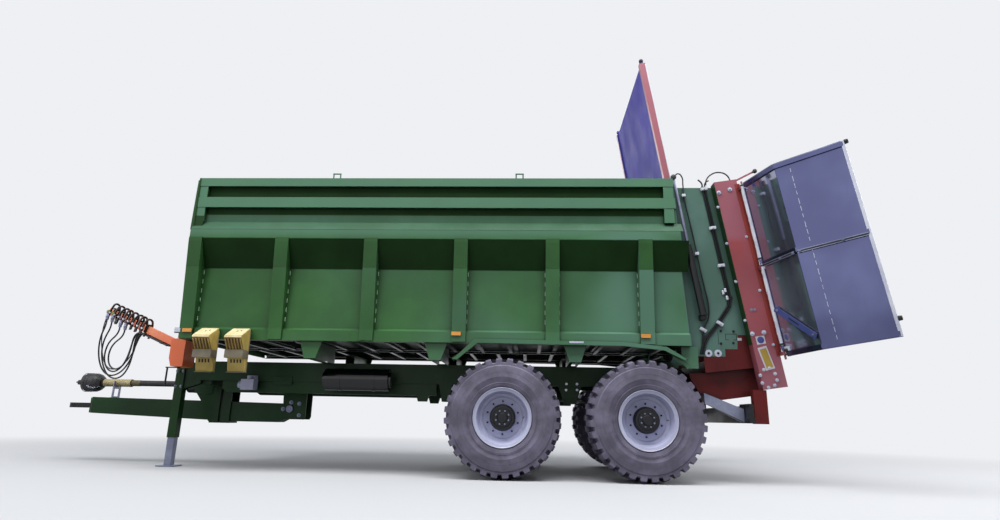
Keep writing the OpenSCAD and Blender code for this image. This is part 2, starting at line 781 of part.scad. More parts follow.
// Floor: the deck sheet on cross channels, between the sills
module floor_frame() {
    y1 = inner_y - EPS;
    y2 = housing_y - plate_t - EPS;
    x0 = front_shaft_x + sprocket_r + 15;
    x1 = rear_shaft_x - sprocket_r - 15;
    color(DARK_GREEN) {
        translate([0, 0, floor_z - floor_t])
            linear_extrude(floor_t)
                polygon([[x0, -y1], [wall_rear_x, -y1], [wall_rear_x, -y2], [x1, -y2],
                    [x1, y2], [wall_rear_x, y2], [wall_rear_x, y1], [x0, y1]]);
        for (i = [0:beam_count - 1]) {
            x = x0 + 10 + i * (x1 - x0 - 70) / (beam_count - 1);
            y = x < wall_rear_x - 50 ? y1 : y2;
            block([x, -y, floor_z - floor_t - beam_h], [x + 50, y, floor_z - floor_t]);
        }
    }
}

// Floor chains: four chains in two pairs, with slats across each pair, above and below the deck
module chain_loop(y) {
    r0 = sprocket_r + EPS;
    along_y(y - 12, y + 12)
        translate([0, shaft_z])
            difference() {
                loop_outline(r0 + chain_t);
                loop_outline(r0);
            }
}
module loop_outline(r) {
    for (x = [front_shaft_x, rear_shaft_x]) translate([x, 0]) circle(r, $fn = 32);
    translate([front_shaft_x, -r]) square([rear_shaft_x - front_shaft_x, 2 * r]);
}
module floor_chains() {
    r = sprocket_r + EPS;
    color(BLACK)
        for (side = [-1, 1]) {
            for (c = [chain_in_y, chain_out_y]) chain_loop(side * c);
            for (z = [shaft_z + r + 6, shaft_z - r - chain_t - 10])
                for (i = [0:slat_count - 1]) {
                    x = front_shaft_x + 60 + (i + (side > 0 ? 0.5 : 0)) * slat_pitch;
                    y = side * (chain_in_y + chain_out_y) / 2;
                    half = (chain_out_y - chain_in_y) / 2 + 45;
                    block([x, y - half, z], [x + 40, y + half, z + 26]);
                }
        }
}
module chain_shafts() {
    color(BLACK)
        for (end = [[front_shaft_x, sill_y - wall_t - EPS], [rear_shaft_x, housing_y - plate_t - EPS]]) {
            bar_y(end[0], -end[1], end[1], shaft_z, 38);
            for (side = [-1, 1])
                for (c = [chain_in_y, chain_out_y])
                    bar_y(end[0], side * c - 11, side * c + 11, shaft_z, 2 * sprocket_r, 12);
        }
}

// Brackets: two webs behind a trapezoid plate, which carry the sills on the chassis rails
module body_brackets() {
    low = rail_top + EPS;
    top = sill_z - EPS;
    y0 = rail_y - rail_w / 2;
    half = bracket_half[1] - 2;
    color(GREEN)
        for (x = bracket_x)
            for (s = [-1, 1]) {
                for (dx = [-half, half - 8])
                    along_x(x + dx, x + dx + 8)
                        polygon([
                            [s * y0, low], [s * (bracket_y - 7), low],
                            [s * (bracket_y - 7), top], [s * y0, top]
                        ]);
                along_y(s * (bracket_y - 4) - 4, s * (bracket_y - 4) + 4)
                    polygon([
                        [x - bracket_half[1], low], [x + bracket_half[1], low],
                        [x + bracket_half[0], top], [x - bracket_half[0], top]
                    ]);
                block([x - half, s > 0 ? y0 : -bracket_y + 1, top - 8],
                    [x + half, s > 0 ? bracket_y - 1 : -y0, top]);
                block([x - half, s * rail_y - rail_w / 2, low],
                    [x + half, s * rail_y + rail_w / 2, low + 10]);
            }
}

// Mudguards: a folded strip under the sill, over both wheels, and its end plate
module mudguard() {
    path = [
        [guard_x0, guard_z[0]], [guard_x0 + 220, sill_z - 4 - EPS], [guard_x1 - 540, sill_z - 4 - EPS],
        [guard_x1 - 220, sill_z - 22], [guard_x1, guard_z[1]]
    ];
    difference() {
        along_y(guard_y[0], guard_y[1]) polygon(folded(path, 4));
        block([bracket_x[2] - bracket_half[0] - 5, 0, 0],
            [bracket_x[2] + bracket_half[0] + 5, bracket_y + 1, sill_z + 1]);
    }
    for (lip = [[path[0], path[1]], [path[3], path[4]]])
        along_y(guard_y[1] - 4, guard_y[1]) polygon(folded(lip, -32));
    along_y(guard_y[0] - 5, guard_y[0] + 1)
        block2([guard_x1 - 62, guard_low_z], [guard_x1 + 110, sill_z - EPS]);
}
module mudguards() {
    color(GREEN) {
        mudguard();
        on_left() mudguard();
    }
}

// Rear housing: side plates from the tub's end to the red frames, and the plates that close the walls' ends
step_x = lean_x(frame_x, sill_z) - 255;
step_z = sill_z - 95;
plate_z = sill_z - 15;
step_up = [step_x + 131, plate_z + 153];
module housing() {
    along_y(housing_y - plate_t, housing_y)
        polygon([
            [wall_rear_x + 20, wall_top_z - 40],
            [lean_x(frame_x, wall_top_z - 40) - EPS, wall_top_z - 40],
            [lean_x(frame_x, step_up[1]) - EPS, step_up[1]], [step_up[0] + 12, step_up[1]],
            [step_up[0], plate_z],
            [step_x, plate_z], [step_x, step_z],
            [wall_rear_low_x + 8, step_z], [wall_rear_low_x + 8, sill_z]
        ]);
    intersection() {
        along_x(wall_rear_x - 50, wall_rear_low_x + 100)
            polygon(concat(
                [[housing_y - plate_t, sill_z]],
                [for (i = [1:len(wall_path) - 2]) wall_path[i]],
                [[upper_y, wall_top_z - 30], [housing_y - plate_t, wall_top_z - 30]]
            ));
        along_y(900, 1400)
            polygon([
                [wall_rear_x + EPS, wall_top_z], [wall_rear_x + EPS + 8, wall_top_z],
                [wall_rear_low_x + EPS + 8, sill_z], [wall_rear_low_x + EPS, sill_z]
            ]);
    }
}
module housings() {
    color(GREEN) {
        housing();
        on_left() housing();
    }
}

// Pipes on the housing plates, for the rear unit's cylinders
pipe_d = 20;
pipe_y = housing_y + pipe_d / 2 + EPS;
pipe_low = [lean_x(frame_x - 82, 1870), pipe_y, 1870];
pipe_path = [
    [lean_x(frame_x - 78, wall_top_z - 60), pipe_y, wall_top_z - 60],
        pipe_low + [0, 0, 40], pipe_low + [-15, 0, -40],
    pipe_low + [-137, 0, -220], pipe_low + [-275, 0, -390], pipe_low + [-305, 0, -450],
        pipe_low + [-335, 0, -560]
];
module rod(a, b, d) {
    run = b - a;
    translate(a) rotate([0, acos(run[2] / norm(run)), atan2(run[1], run[0])])
        cylinder(h = norm(run), d = d, $fn = 32);
}
module wall_pipes() {
    color(BLACK)
        for (side = [0, 1])
            mirror([0, side, 0]) {
                for (x = [0, -26]) tube([for (p = pipe_path) p + [x, 0, 0]], pipe_d);
                for (p = [pipe_path[0], pipe_path[1], pipe_path[4]])
                    translate(p + [-42, -pipe_d / 2, 0]) cube([58, pipe_d / 2 + 4, 30]);
            }
}

// Gate guides: two bars on each housing plate, before and behind the gate's edges
module gate_guides() {
    color(RED)
        for (s = [-1, 1])
            for (x = [-guide_gap - guide_t, gate_t + guide_gap])
                leaned(gate_x)
                    block([x, s > 0 ? guide_in_y : -housing_y + plate_t + EPS, gate_low_closed - 20],
                          [x + guide_t, s > 0 ? housing_y - plate_t - EPS : -guide_in_y, 40]);
}

// Gate, as it stands raised: a sheet with folded stiffeners between two edge channels
module gate() {
    half = gate_w / 2;
    leaned(gate_x) {
        color(BLUE) {
            block([20, -half + edge_w - 1, gate_low], [26, half - edge_w + 1, gate_low + gate_h]);
            for (z = [0, 0.25, 0.5, 0.75, 1] * (gate_h - 60))
                block([26 - 1, -half + edge_w - 1, gate_low + z],
                    [60, half - edge_w + 1, gate_low + z + 60]);
        }
        color(RED)
            for (s = [-1, 1]) {
                block([0, min(s * half, s * (half - edge_w)), gate_low],
                    [gate_t, max(s * half, s * (half - edge_w)), gate_low + gate_h]);
                for (z = [20, 300])
                    block([-guide_gap + EPS, min(s * half, s * (half - 40)), gate_low + z],
                          [gate_t + guide_gap - EPS, max(s * half, s * (half - 40)), gate_low + z + 60]);
            }
        color(BLACK)
            for (s = [-1, 1])
                translate([gate_t / 2, s * (half - edge_w / 2), gate_low + gate_h]) {
                    cylinder(h = 30, d = 24, $fn = 24);
                    translate([0, 0, 44]) sphere(d = 52, $fn = 32);
                }
    }
}

// Lift cylinders beside the housing plates; their rods lift the gate two to one
module gate_cylinders() {
    for (s = [-1, 1])
        leaned(cylinder_x, s * cylinder_y) {
            color(BLACK)
                difference() {
                    translate([0, 0, barrel_low]) cylinder(h = barrel_h, d = barrel_d, $fn = 48);
                    translate([0, 0, barrel_low + 30])
                        cylinder(h = barrel_h, d = barrel_d - 16, $fn = 48);
                }
            color(BLACK)
                difference() {
                    translate([0, 0, barrel_low + barrel_h - 26])
                        cylinder(h = 26, d = barrel_d - 15, $fn = 48);
                    translate([0, 0, barrel_low + barrel_h - 30])
                        cylinder(h = 40, d = rod_d + 0.1, $fn = 48);
                }
            color(RED) {
                translate([-30, min(0, -s * (cylinder_y - housing_y - EPS)), barrel_low - 60])
                    cube([60, cylinder_y - housing_y - EPS, 60]);
                translate([-40, -40, barrel_low - 14]) cube([80, 80, 14]);
                difference() {
                    translate([-35, min(0, -s * (cylinder_y - housing_y - EPS)), barrel_low + barrel_h - 120])
                        cube([70, cylinder_y - housing_y - EPS, 40]);
                    translate([0, 0, barrel_low]) cylinder(h = barrel_h, d = barrel_d - 1, $fn = 48);
                }
            }
        }
}
module gate_rods() {
    for (s = [-1, 1])
        leaned(cylinder_x, s * cylinder_y)
            color(ZINC) {
                translate([0, 0, rod_eye_l - rod_len]) cylinder(h = rod_len, d = rod_d, $fn = 48);
                translate([0, 0, rod_eye_l - rod_len])
                    cylinder(h = piston_h, d = barrel_d - 16.1, $fn = 48);
                translate([0, 11, rod_eye_l]) rotate([90, 0, 0]) cylinder(h = 22, d = 56, $fn = 48);
            }
}

// Red frames: leaning channels outside the beaters, with the doors' hinge rods
module frame_side() {
    w = frame_w * cos(lean);
    low = (frame_low_z - wall_top_z) / cos(lean);
    leaned(frame_x) {
        block([0, frame_y - plate_t, low], [w, frame_y, -20]);
        block([0, housing_y - plate_t, low], [plate_t, frame_y - 1, -20]);
        block([w - plate_t, housing_y + 30, low], [w, frame_y - 1, -20]);
    }
    leaned(hinge_x, hinge_y) {
        translate([0, 0, -door_top - door_h - 25]) cylinder(h = door_h + 50, d = hinge_d, $fn = 32);
        for (k = hinge_at)
            translate([0, 0, -door_top - k])
                difference() {
                    union() {
                        translate([-hinge_off - 3, -frame_hinge_y, -20])
                            cube([hinge_off + 3, frame_hinge_y + 8, 40]);
                        translate([0, 0, -20]) cylinder(h = 40, d = 40, $fn = 32);
                    }
                }
    }
}
module rear_frames() {
    color(RED) {
        frame_side();
        on_left() frame_side();
    }
}

// Top beam over the beaters, with a bearing for each
module top_beam() {
    y1 = frame_y - plate_t - EPS;
    color(RED)
        leaned(beater_x)
            difference() {
                union() {
                    block([-beam_half, -y1, beam_low], [beam_half, y1, beam_low + 120]);
                    for (s = [-1, 1])
                        translate([0, s * beater_gap / 2, beam_low - 30])
                            cylinder(h = 31, d = 140, $fn = 48);
                }
                for (s = [-1, 1])
                    translate([0, s * beater_gap / 2, beam_low - 31])
                        cylinder(h = 100, d = shaft_bore, $fn = 48);
            }
}

// Beater bed: the gearbox box below the discs, with a bearing for each beater
module beater_bed() {
    y1 = housing_y - plate_t - EPS;
    color(RED)
        leaned(beater_x)
            difference() {
                union() {
                    block([-bed_front, -y1, bed_top - 120], [beam_half, y1, bed_top]);
                    for (s = [-1, 1])
                        translate([0, s * beater_gap / 2, bed_top - 1])
                            cylinder(h = 16, d = 200, $fn = 48);
                }
                for (s = [-1, 1])
                    translate([0, s * beater_gap / 2, bed_top - 80])
                        cylinder(h = 120, d = shaft_bore, $fn = 48);
            }
}

// Beaters: a drum on a throwing disc with upright paddles
module beater() {
    color(RED) {
        translate([0, 0, disc_l]) cylinder(h = beater_h, r = drum_r, $fn = 48);
        translate([0, 0, disc_l]) cylinder(h = 10, r = beater_r - 15, $fn = 64);
        translate([0, 0, disc_l - 70]) cylinder(h = 71, d = shaft_d, $fn = 48);
        translate([0, 0, disc_l + beater_h - 1]) cylinder(h = 90, d = shaft_d, $fn = 48);
        for (i = [0:3])
            rotate([0, 0, i * 90])
                translate([0, 0, disc_l + 9])
                    rotate([90, 0, 0])
                        translate([0, 0, -5])
                            linear_extrude(10)
                                polygon([[drum_r - 4, 0], [beater_r - 15, 0],
                                    [beater_r - 15, 120], [beater_r - 120, 200], [drum_r - 4, 200]]);
    }
}
module beater_right() {
    leaned(beater_x, beater_gap / 2) beater();
}
module beater_left() {
    on_left() leaned(beater_x, beater_gap / 2) rotate([0, 0, 45]) beater();
}

// Flights: winding strips round each drum, with a knife tine at every step
module flight(start) {
    turns = flight_h / flight_pitch;
    steps = round(turns * flight_steps);
    r0 = (drum_r + EPS) / cos(180 / flight_steps);
    r1 = beater_r - tine_len;
    ring = [for (i = [0:steps])
        let (a = start + i * 360 / flight_steps, z = i * flight_pitch / flight_steps,
            r = i % 4 < 2 ? beater_r : r1)
            [[r0, a, z], [r, a, z], [r, a, z + flight_t], [r0, a, z + flight_t]]];
    points = [for (r = ring) for (p = r) [p[0] * cos(p[1]), p[0] * sin(p[1]), p[2]]];
    faces = concat(
        [[0, 1, 2], [0, 2, 3]],
        [for (i = [0:steps - 1]) for (k = [0:3])
            let (a = 4 * i + k, b = 4 * i + (k + 1) % 4)
                for (face = [[b, a, a + 4], [b, a + 4, b + 4]]) face],
        [for (face = [[2, 1, 0], [3, 2, 0]]) [for (k = face) 4 * steps + k]]
    );
    polyhedron(points, faces, convexity = 8);
}
module flights() {
    color(RED)
        translate([0, 0, disc_l + 215])
            for (i = [0:beater_starts - 1])
                flight(i * 360 / beater_starts);
}
module flights_right() {
    leaned(beater_x, beater_gap / 2) flights();
}
module flights_left() {
    on_left() leaned(beater_x, beater_gap / 2) flights();
}

// Rear pan below the bed, as a folded trough, and the legs and bars for the rear lamps
function bed_under(x) = wall_top_z + (bed_top - 120) / cos(lean) + (x - beater_x) * rear_run;
pan_path = [
    [pan_x0, 1113], [pan_x0 + 26, 1030], [pan_x0 + 90, 930], [pan_x0 + 160, 860], [pan_x0 + 243, 826],
    [pan_x0 + 735, 897], [pan_x0 + 762, 1000]
];
module rear_pan() {
    cheek = concat(pan_path, [
        [pan_x0 + 762, bed_under(pan_x0 + 762) - EPS], [pan_x0 + 175, bed_under(pan_x0 + 175) - EPS],
        [pan_x0 + 60, 1113]
    ]);
    color(RED) {
        difference() {
            along_y(-pan_y, pan_y) polygon(folded(pan_path, 6));
            block([pan_x0 - 50, -rail_y - 75, 700], [chassis_end_x + 12, rail_y + 75, 1200]);
        }
        for (s = [-1, 1])
            along_y(s * (pan_y - 3) - 3, s * (pan_y - 3) + 3) polygon(cheek);
        for (s = [-1, 1])
            along_y(s * (housing_y - plate_t / 2) - plate_t / 2,
                s * (housing_y - plate_t / 2) + plate_t / 2)
                polygon([
                    [step_x - 230, step_z - EPS], [step_x + EPS, step_z - EPS],
                    [step_x + EPS, plate_z - EPS],
                    [step_up[0] + EPS, plate_z - EPS], [step_up[0] + 12 + EPS, step_up[1] - EPS],
                    [lean_x(frame_x, step_up[1]) - EPS, step_up[1] - EPS],
                    [lean_x(frame_x, step_z - 115) - EPS, step_z - 115], [step_x - 220, step_z - 175]
                ]);
    }
}
module rear_legs() {
    color(RED)
        for (s = [-1, 1])
            along_y(s * (frame_y - 45) - 40, s * (frame_y - 45) + 40)
                block2([leg_x, 600], [leg_x + leg_w, frame_low_z - EPS]);
}
// Rear lamp board between the legs, and the two bars that hold it to the pan
module light_bars() {
    board_x = leg_x - 60;
    bar_x0 = rear_axle_x + tyre_d / 2 + 20;
    color(BLACK) {
        block([board_x, -frame_y, 605], [leg_x - EPS, frame_y, 665]);
        block([board_x, -frame_y + 299, 664], [leg_x - 20, frame_y - 299, 780]);
        for (s = [-1, 1])
            along_y(s * (frame_y - 150) - 150, s * (frame_y - 150) + 150)
                block2([leg_x - 50, 664], [leg_x - 10, 800]);
    }
    color(ZINC)
        for (s = [-1, 1])
            along_y(s * (pan_y + 25 + EPS) - 25, s * (pan_y + 25 + EPS) + 25)
                polygon([
                    [bar_x0, 905], [bar_x0, 805], [board_x - 22, 615],
                    [board_x - EPS, 615], [board_x - EPS, 747]
                ]);
}

// Spread doors: a folded sheet with two panels, channel ribs and hinge tubes, drawn swung open
module door_form() {
    path = [[door_edge, -45], [door_edge, 0], [door_w1, 0],
        [door_w1 + door_w2 * cos(door_bend), -door_w2 * sin(door_bend)]];
    end = path[3] + 30 * [sin(door_bend), cos(door_bend)] * -1;
    difference() {
        union() {
            translate([0, 0, -door_top - door_h]) linear_extrude(door_h)
                polygon(folded(concat(path, [end]), -door_t));
            for (z = door_rib_at)
                translate([0, 0, -door_top - z]) linear_extrude(45)
                    polygon(folded([path[1] + [10, -1], path[2] + [0, -1], path[3] + [-10, 6]], 22));
            for (k = knuckle_at)
                translate([0, 0, -door_top - k[1]]) {
                    cylinder(h = k[1] - k[0], d = 40, $fn = 32);
                    translate([0, -4, 0]) cube([door_edge + 2, 8, k[1] - k[0]]);
                }
            door_stay();
        }
        translate([0, 0, -door_top - door_h - 10]) cylinder(h = door_h + 20, d = hinge_d + 0.1, $fn = 32);
    }
}
module door_stay() {
    run = stay_far - stay_near;
    along_y(18, 24)
        difference() {
            translate(stay_near)
                rotate(atan2(run[1], run[0])) translate([0, -stay_w / 2]) square([norm(run), stay_w]);
            for (t = [0.2, 0.42, 0.64])
                translate(stay_near + t * run)
                    rotate(atan2(run[1], run[0])) translate([0, -9]) square([75, 18]);
        }
    for (t = [0.02, 0.9])
        translate([stay_near[0] + t * run[0], -1, stay_near[1] + t * run[1] - 20]) cube([30, 20, 40]);
}
module door_right() {
    color(ZINC) leaned(hinge_x, hinge_y) rotate([0, 0, door_open]) door_form();
}
module door_left() {
    color(ZINC) on_left() leaned(hinge_x, hinge_y) rotate([0, 0, door_open]) door_form();
}

// Air tank with its straps, below the left of the tub
module air_tank() {
    color(BLACK) {
        bar_x(tank_x, tank_x + tank_len, -tank_y, tank_z, tank_d, 48);
        for (x = [tank_x - 25, tank_x + tank_len])
            bar_x(x, x + 25, -tank_y, tank_z, tank_d - 70, 48);
    }
    color(GREEN)
        for (x = [tank_x + 170, tank_x + tank_len - 170])
            difference() {
                union() {
                    bar_x(x - 20, x + 20, -tank_y, tank_z, tank_d + 8, 48);
                    block([x - 20, -tank_y, tank_z - 30],
                        [x + 20, -rail_y - rail_w / 2 - EPS, tank_z + 30]);
                }
                bar_x(x - 30, x + 30, -tank_y, tank_z, tank_d - 2, 48);
            }
}

// Brake valve on the left chassis rail
module brake_valve() {
    color(SILVER) {
        block([valve_x, -valve_y - 60, valve_z - 60], [valve_x + 150, -valve_y + 60, valve_z + 60]);
        bar_x(valve_x - 45, valve_x + 1, -valve_y, valve_z, 80);
        bar_z(valve_x + 75, -valve_y, valve_z + 59, valve_z + 100, 60);
    }
    color(DARK_GREEN)
        block([valve_x + 20, -valve_y + 60 - 1, valve_z - 40],
            [valve_x + 130, -rail_y - rail_w / 2 - EPS, rail_z + 60]);
}

// Wheel chocks, upright in folded holders on the outer face of the left sill
module chock_holders() {
    y0 = -sill_y - EPS;
    color(ZINC)
        for (x = chock_x) {
            block([x - 6, y0 - 5, chock_z - 8], [x + chock_w + 6, y0, sill_z + sill_h - 30]);
            block([x - 6, y0 - chock_t - 12, chock_z - 8], [x + chock_w + 6, y0, chock_z - 3]);
            difference() {
                block([x - 6, y0 - chock_t - 12, chock_z + 130], [x + chock_w + 6, y0 - 4, chock_z + 195]);
                block([x - 1, y0 - chock_t - 7, chock_z + 120], [x + chock_w + 1, y0 - 4, chock_z + 200]);
            }
        }
}
module wheel_chocks() {
    y0 = -sill_y - 6;
    color(YELLOW)
        for (x = chock_x)
            along_x(x, x + chock_w)
                polygon([
                    [y0, chock_z], [y0 - chock_t + 25, chock_z], [y0 - chock_t + 1, chock_z + 120], [y0 - chock_t + 1, chock_z + 230],
                    [y0 - chock_t + 12, chock_z + 330], [y0 - 10, chock_z + chock_h], [y0, chock_z + chock_h]
                ]);
}

// Hose box on the front wall, with the inclined arm and the rack's holders for the couplings
module hose_box() {
    color(ORANGE) {
        along_y(-box_y - box_w / 2, -box_y + box_w / 2)
            polygon([
                [box_x + 30, box_z], [front_x - 52, box_z], [front_x - 52, box_z + box_h],
                [box_x, box_z + box_h - 30],
                [box_x, box_z + 90]
            ]);
        for (y = [-box_y - 85, -box_y + 45])
            block([front_x - 53, y, box_z + box_h - 42], [front_x - EPS, y + 40, box_z + box_h - 8]);
        arm_bar(0);
    }
}
module arm_bar(grow) {
    translate(arm_from)
        rotate(arm_turn)
            block([-arm_root - grow, -arm_w / 2 - grow, -arm_h / 2 - grow],
                  [arm_len + grow, arm_w / 2 + grow, arm_h / 2 + grow]);
}

// Hose routes from the arm's lower side to the fittings on the rack: X, Y and Z of each point
HOSES = [
    [
        [-3270, -655, 1485], [-3325, -640, 1510], [-3385, -620, 1500],
        [-3425, -610, 1450], [-3440, -605, 1375],
        [-3455, -600, 1255], [-3505, -590, 1140], [-3585, -565, 1050],
        [-3695, -540, 1005], [-3800, -510, 1020],
        [-3885, -495, 1090], [-3940, -490, 1195], [-3965, -495, 1315],
        [-3960, -510, 1425], [-3935, -530, 1525],
        [-3870, -575, 1595], [-3870, -575, 1675]
    ],
    [
        [-3275, -675, 1485], [-3335, -660, 1510], [-3385, -645, 1500],
        [-3420, -635, 1445], [-3430, -635, 1365],
        [-3435, -635, 1235], [-3465, -625, 1105], [-3530, -605, 1005],
        [-3630, -580, 965], [-3740, -550, 995],
        [-3820, -535, 1075], [-3875, -525, 1185], [-3900, -530, 1305],
        [-3885, -545, 1415], [-3845, -565, 1505],
        [-3790, -595, 1565], [-3790, -595, 1645]
    ],
    [
        [-3280, -700, 1485], [-3340, -685, 1510], [-3395, -670, 1500],
        [-3435, -660, 1450], [-3455, -655, 1375],
        [-3475, -645, 1265], [-3515, -635, 1155], [-3580, -620, 1075],
        [-3665, -595, 1045], [-3755, -570, 1075],
        [-3815, -560, 1155], [-3835, -560, 1255], [-3815, -570, 1355],
        [-3765, -590, 1435], [-3650, -635, 1495],
        [-3650, -635, 1575]
    ],
    [
        [-3290, -725, 1485], [-3345, -705, 1510], [-3395, -695, 1495],
        [-3430, -685, 1440], [-3435, -680, 1355],
        [-3450, -680, 1235], [-3495, -665, 1135], [-3575, -645, 1075],
        [-3675, -620, 1085], [-3740, -600, 1155],
        [-3760, -595, 1250], [-3735, -605, 1340], [-3675, -625, 1410],
        [-3570, -655, 1465], [-3570, -655, 1540]
    ]
];
LEAD = [
    [-3260, -630, 1485], [-3320, -615, 1510], [-3385, -595, 1505],
    [-3425, -585, 1455], [-3450, -575, 1375],
    [-3495, -565, 1255], [-3570, -545, 1155], [-3675, -515, 1085],
    [-3795, -485, 1085], [-3890, -455, 1155],
    [-3945, -440, 1265], [-3990, -430, 1395], [-4010, -425, 1525],
    [-4005, -425, 1645], [-3970, -435, 1765],
    [-3915, -450, 1820], [-3860, -465, 1830], [-3825, -475, 1800], [-3825, -475, 1750]
];

// A round tube along a route that winds in one upright plane
function unit(v) = v / norm(v);
function route_turn(p, i) = i == 0 ? unit(p[1] - p[0]) : i == len(p) - 1 ? unit(p[i] - p[i - 1])
    : unit(p[i + 1] - p[i - 1]);
module tube(p, d) {
    across = unit([arm_run[1], -arm_run[0], 0]);
    n = hose_sides;
    last = len(p) - 1;
    points = [for (i = [0:last])
        let (t = route_turn(p, i), v = unit(cross(t, across)), w = cross(t, v))
            for (k = [0:n - 1]) p[i] + d / 2 * (cos(k * 360 / n) * v + sin(k * 360 / n) * w)];
    faces = concat(
        [for (k = [1:n - 2]) [0, k, k + 1]],
        [for (i = [0:last - 1]) for (k = [0:n - 1])
            let (a = i * n + k, b = i * n + (k + 1) % n)
                for (face = [[b, a, a + n], [b, a + n, b + n]]) face],
        [for (k = [1:n - 2]) [last * n, last * n + k + 1, last * n + k]]
    );
    polyhedron(points, faces, convexity = 8);
}
module hose(i) {
    color(RUBBER) tube(HOSES[i], hose_d);
}
module lead_1() {
    color(RUBBER) tube(LEAD, lead_d);
}

// Hose rack: the hoses' run below the arm, its clamps, the holders over the arm and the fittings
module hose_rack() {
    color(BLACK) {
        difference() {
            union() {
                for (p = concat(HOSES, [LEAD])) {
                    d = p == LEAD ? lead_d : hose_d;
                    back = (arm_len - 600) * arm_run / arm_len * 0.75;
                    rod(p[0] - back, p[0] - unit(arm_run), d);
                }
                translate(arm_from)
                    rotate(arm_turn) {
                        for (x = [110, 400])
                            block([x, -66, hose_low - 12], [x + 30, 66, -arm_h / 2 - EPS]);
                        for (i = [0:holder_count - 1])
                            block([holder_from - 15 + i * holder_pitch, -30, -38],
                                [holder_from + 15 + i * holder_pitch, 30, arm_h / 2 + 18]);
                    }
                for (p = HOSES) fitting(p[len(p) - 1] + [0, 0, EPS], 88);
                fitting(LEAD[len(LEAD) - 1] - [0, 0, fitting_h + EPS], 92, 180);
            }
            arm_bar(EPS);
            block([box_x - EPS, -box_y - box_w, box_z],
                [box_x + 300, -box_y + box_w, box_z + box_h + 100]);
        }
        block([box_rod_x - 15, -box_y - 15, box_z - 12], [box_x + 70, -box_y + 15, box_z - EPS]);
        bar_z(box_rod_x, -box_y, box_z - 205, box_z - 11, 20);
    }
}
module fitting(p, lug, turned = 0) {
    translate(p) {
        cylinder(h = fitting_h, d = fitting_d, $fn = 32);
        translate([0, 0, lug])
            rotate([0, 0, arm_turn[2] - 90 + turned])
                block([0, -14, -12], [55, 14, 12]);
    }
}

// Side marker lamps on the sills
module side_lamps() {
    color(ORANGE)
        for (s = [-1, 1])
            for (x = lamp_x)
                along_y(s * (sill_y + 31 + EPS) - 9, s * (sill_y + 31 + EPS) + 9)
                    block2([x, lamp_z], [x + 100, lamp_z + 40]);
}

tyre(axle_x, -wheel_y);  // tyre_front_left
tyre(axle_x, wheel_y);  // tyre_front_right
tyre(rear_axle_x, -wheel_y);  // tyre_rear_left
tyre(rear_axle_x, wheel_y);  // tyre_rear_right
rim(axle_x, -wheel_y, 1);  // rim_front_left
rim(axle_x, wheel_y, -1);  // rim_front_right
rim(rear_axle_x, -wheel_y, 1);  // rim_rear_left
rim(rear_axle_x, wheel_y, -1);  // rim_rear_right
axles();
leaf_springs();
spring_hangers();
chassis();
drawbar();
drawbar_pins();
drawbar_yokes();
drawbar_buffer();
tow_eye();
jack_tube();
jack_leg();
pto_shaft();
pto_support();
driveline();
side_left();
side_right();
front_wall();
floor_frame();
floor_chains();
chain_shafts();
body_brackets();
mudguards();
air_tank();
brake_valve();
chock_holders();
wheel_chocks();
hose_box();
hose_rack();
hose(0);  // hose_1
hose(1);  // hose_2
hose(2);  // hose_3
hose(3);  // hose_4
lead_1();
side_lamps();
housings();
wall_pipes();
gate_guides();
gate();
gate_cylinders();
gate_rods();
rear_frames();
top_beam();
beater_bed();
rear_pan();
rear_legs();
light_bars();
beater_left();
beater_right();
flights_left();
flights_right();
door_left();
door_right();
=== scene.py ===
# Looks of a towed manure spreader, built round its fixed CAD frame
import json
import math

import bpy
from mathutils import Matrix, Vector


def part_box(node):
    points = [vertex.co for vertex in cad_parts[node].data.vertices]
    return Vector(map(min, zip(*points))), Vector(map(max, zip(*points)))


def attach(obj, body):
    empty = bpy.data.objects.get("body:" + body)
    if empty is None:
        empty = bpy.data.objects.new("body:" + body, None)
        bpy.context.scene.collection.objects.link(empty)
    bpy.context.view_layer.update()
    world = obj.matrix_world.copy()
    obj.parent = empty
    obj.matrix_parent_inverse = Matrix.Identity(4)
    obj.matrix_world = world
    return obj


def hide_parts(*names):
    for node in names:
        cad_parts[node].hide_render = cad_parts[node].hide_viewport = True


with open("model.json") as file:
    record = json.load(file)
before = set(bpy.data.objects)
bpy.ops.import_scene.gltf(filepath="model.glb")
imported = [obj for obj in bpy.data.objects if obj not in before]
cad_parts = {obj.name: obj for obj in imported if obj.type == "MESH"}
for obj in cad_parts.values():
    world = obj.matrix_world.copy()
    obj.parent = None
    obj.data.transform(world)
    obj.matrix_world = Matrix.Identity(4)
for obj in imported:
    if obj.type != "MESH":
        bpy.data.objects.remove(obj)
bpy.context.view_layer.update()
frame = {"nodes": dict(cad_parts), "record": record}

# Sizes and places of the machine that the details need, in metres
LEAN = math.radians(8.6)
WALL_TOP = 3.250
FRONT_X, REAR_X, POST_W = -2.600, 2.838, 0.110
UPPER_Y, KINK_Y, KINK_Z = 1.165, 1.108, 2.190
FRONT_RIB = FRONT_X + 0.075
RIBS = [-1.532 + i * 1.008 for i in range(5)]
FRAME_X, FRAME_W, FRAME_Y = 3.310, 0.256, 1.150
FRAME_BACK = FRAME_X + FRAME_W
HINGE_X, HINGE_Y = 3.596, 1.195
DOOR_OPEN, DOOR_BEND, DOOR_W = math.radians(72), math.radians(36), 0.520
GATE_X, GATE_T, GATE_HALF, GATE_EDGE = 2.812, 0.070, 0.995, 0.060
GATE_LOW, GATE_HIGH = -0.3415, 1.6235
AXLES = (("front", 0.970), ("rear", 2.460))
WHEEL_Y, WHEEL_Z = 0.965, 0.615
SHAFT_Z = 0.950
ARM_FROM = Vector((-2.860, -0.790, 1.385))
ARM_TO = Vector((-3.900, -0.506, 1.785))

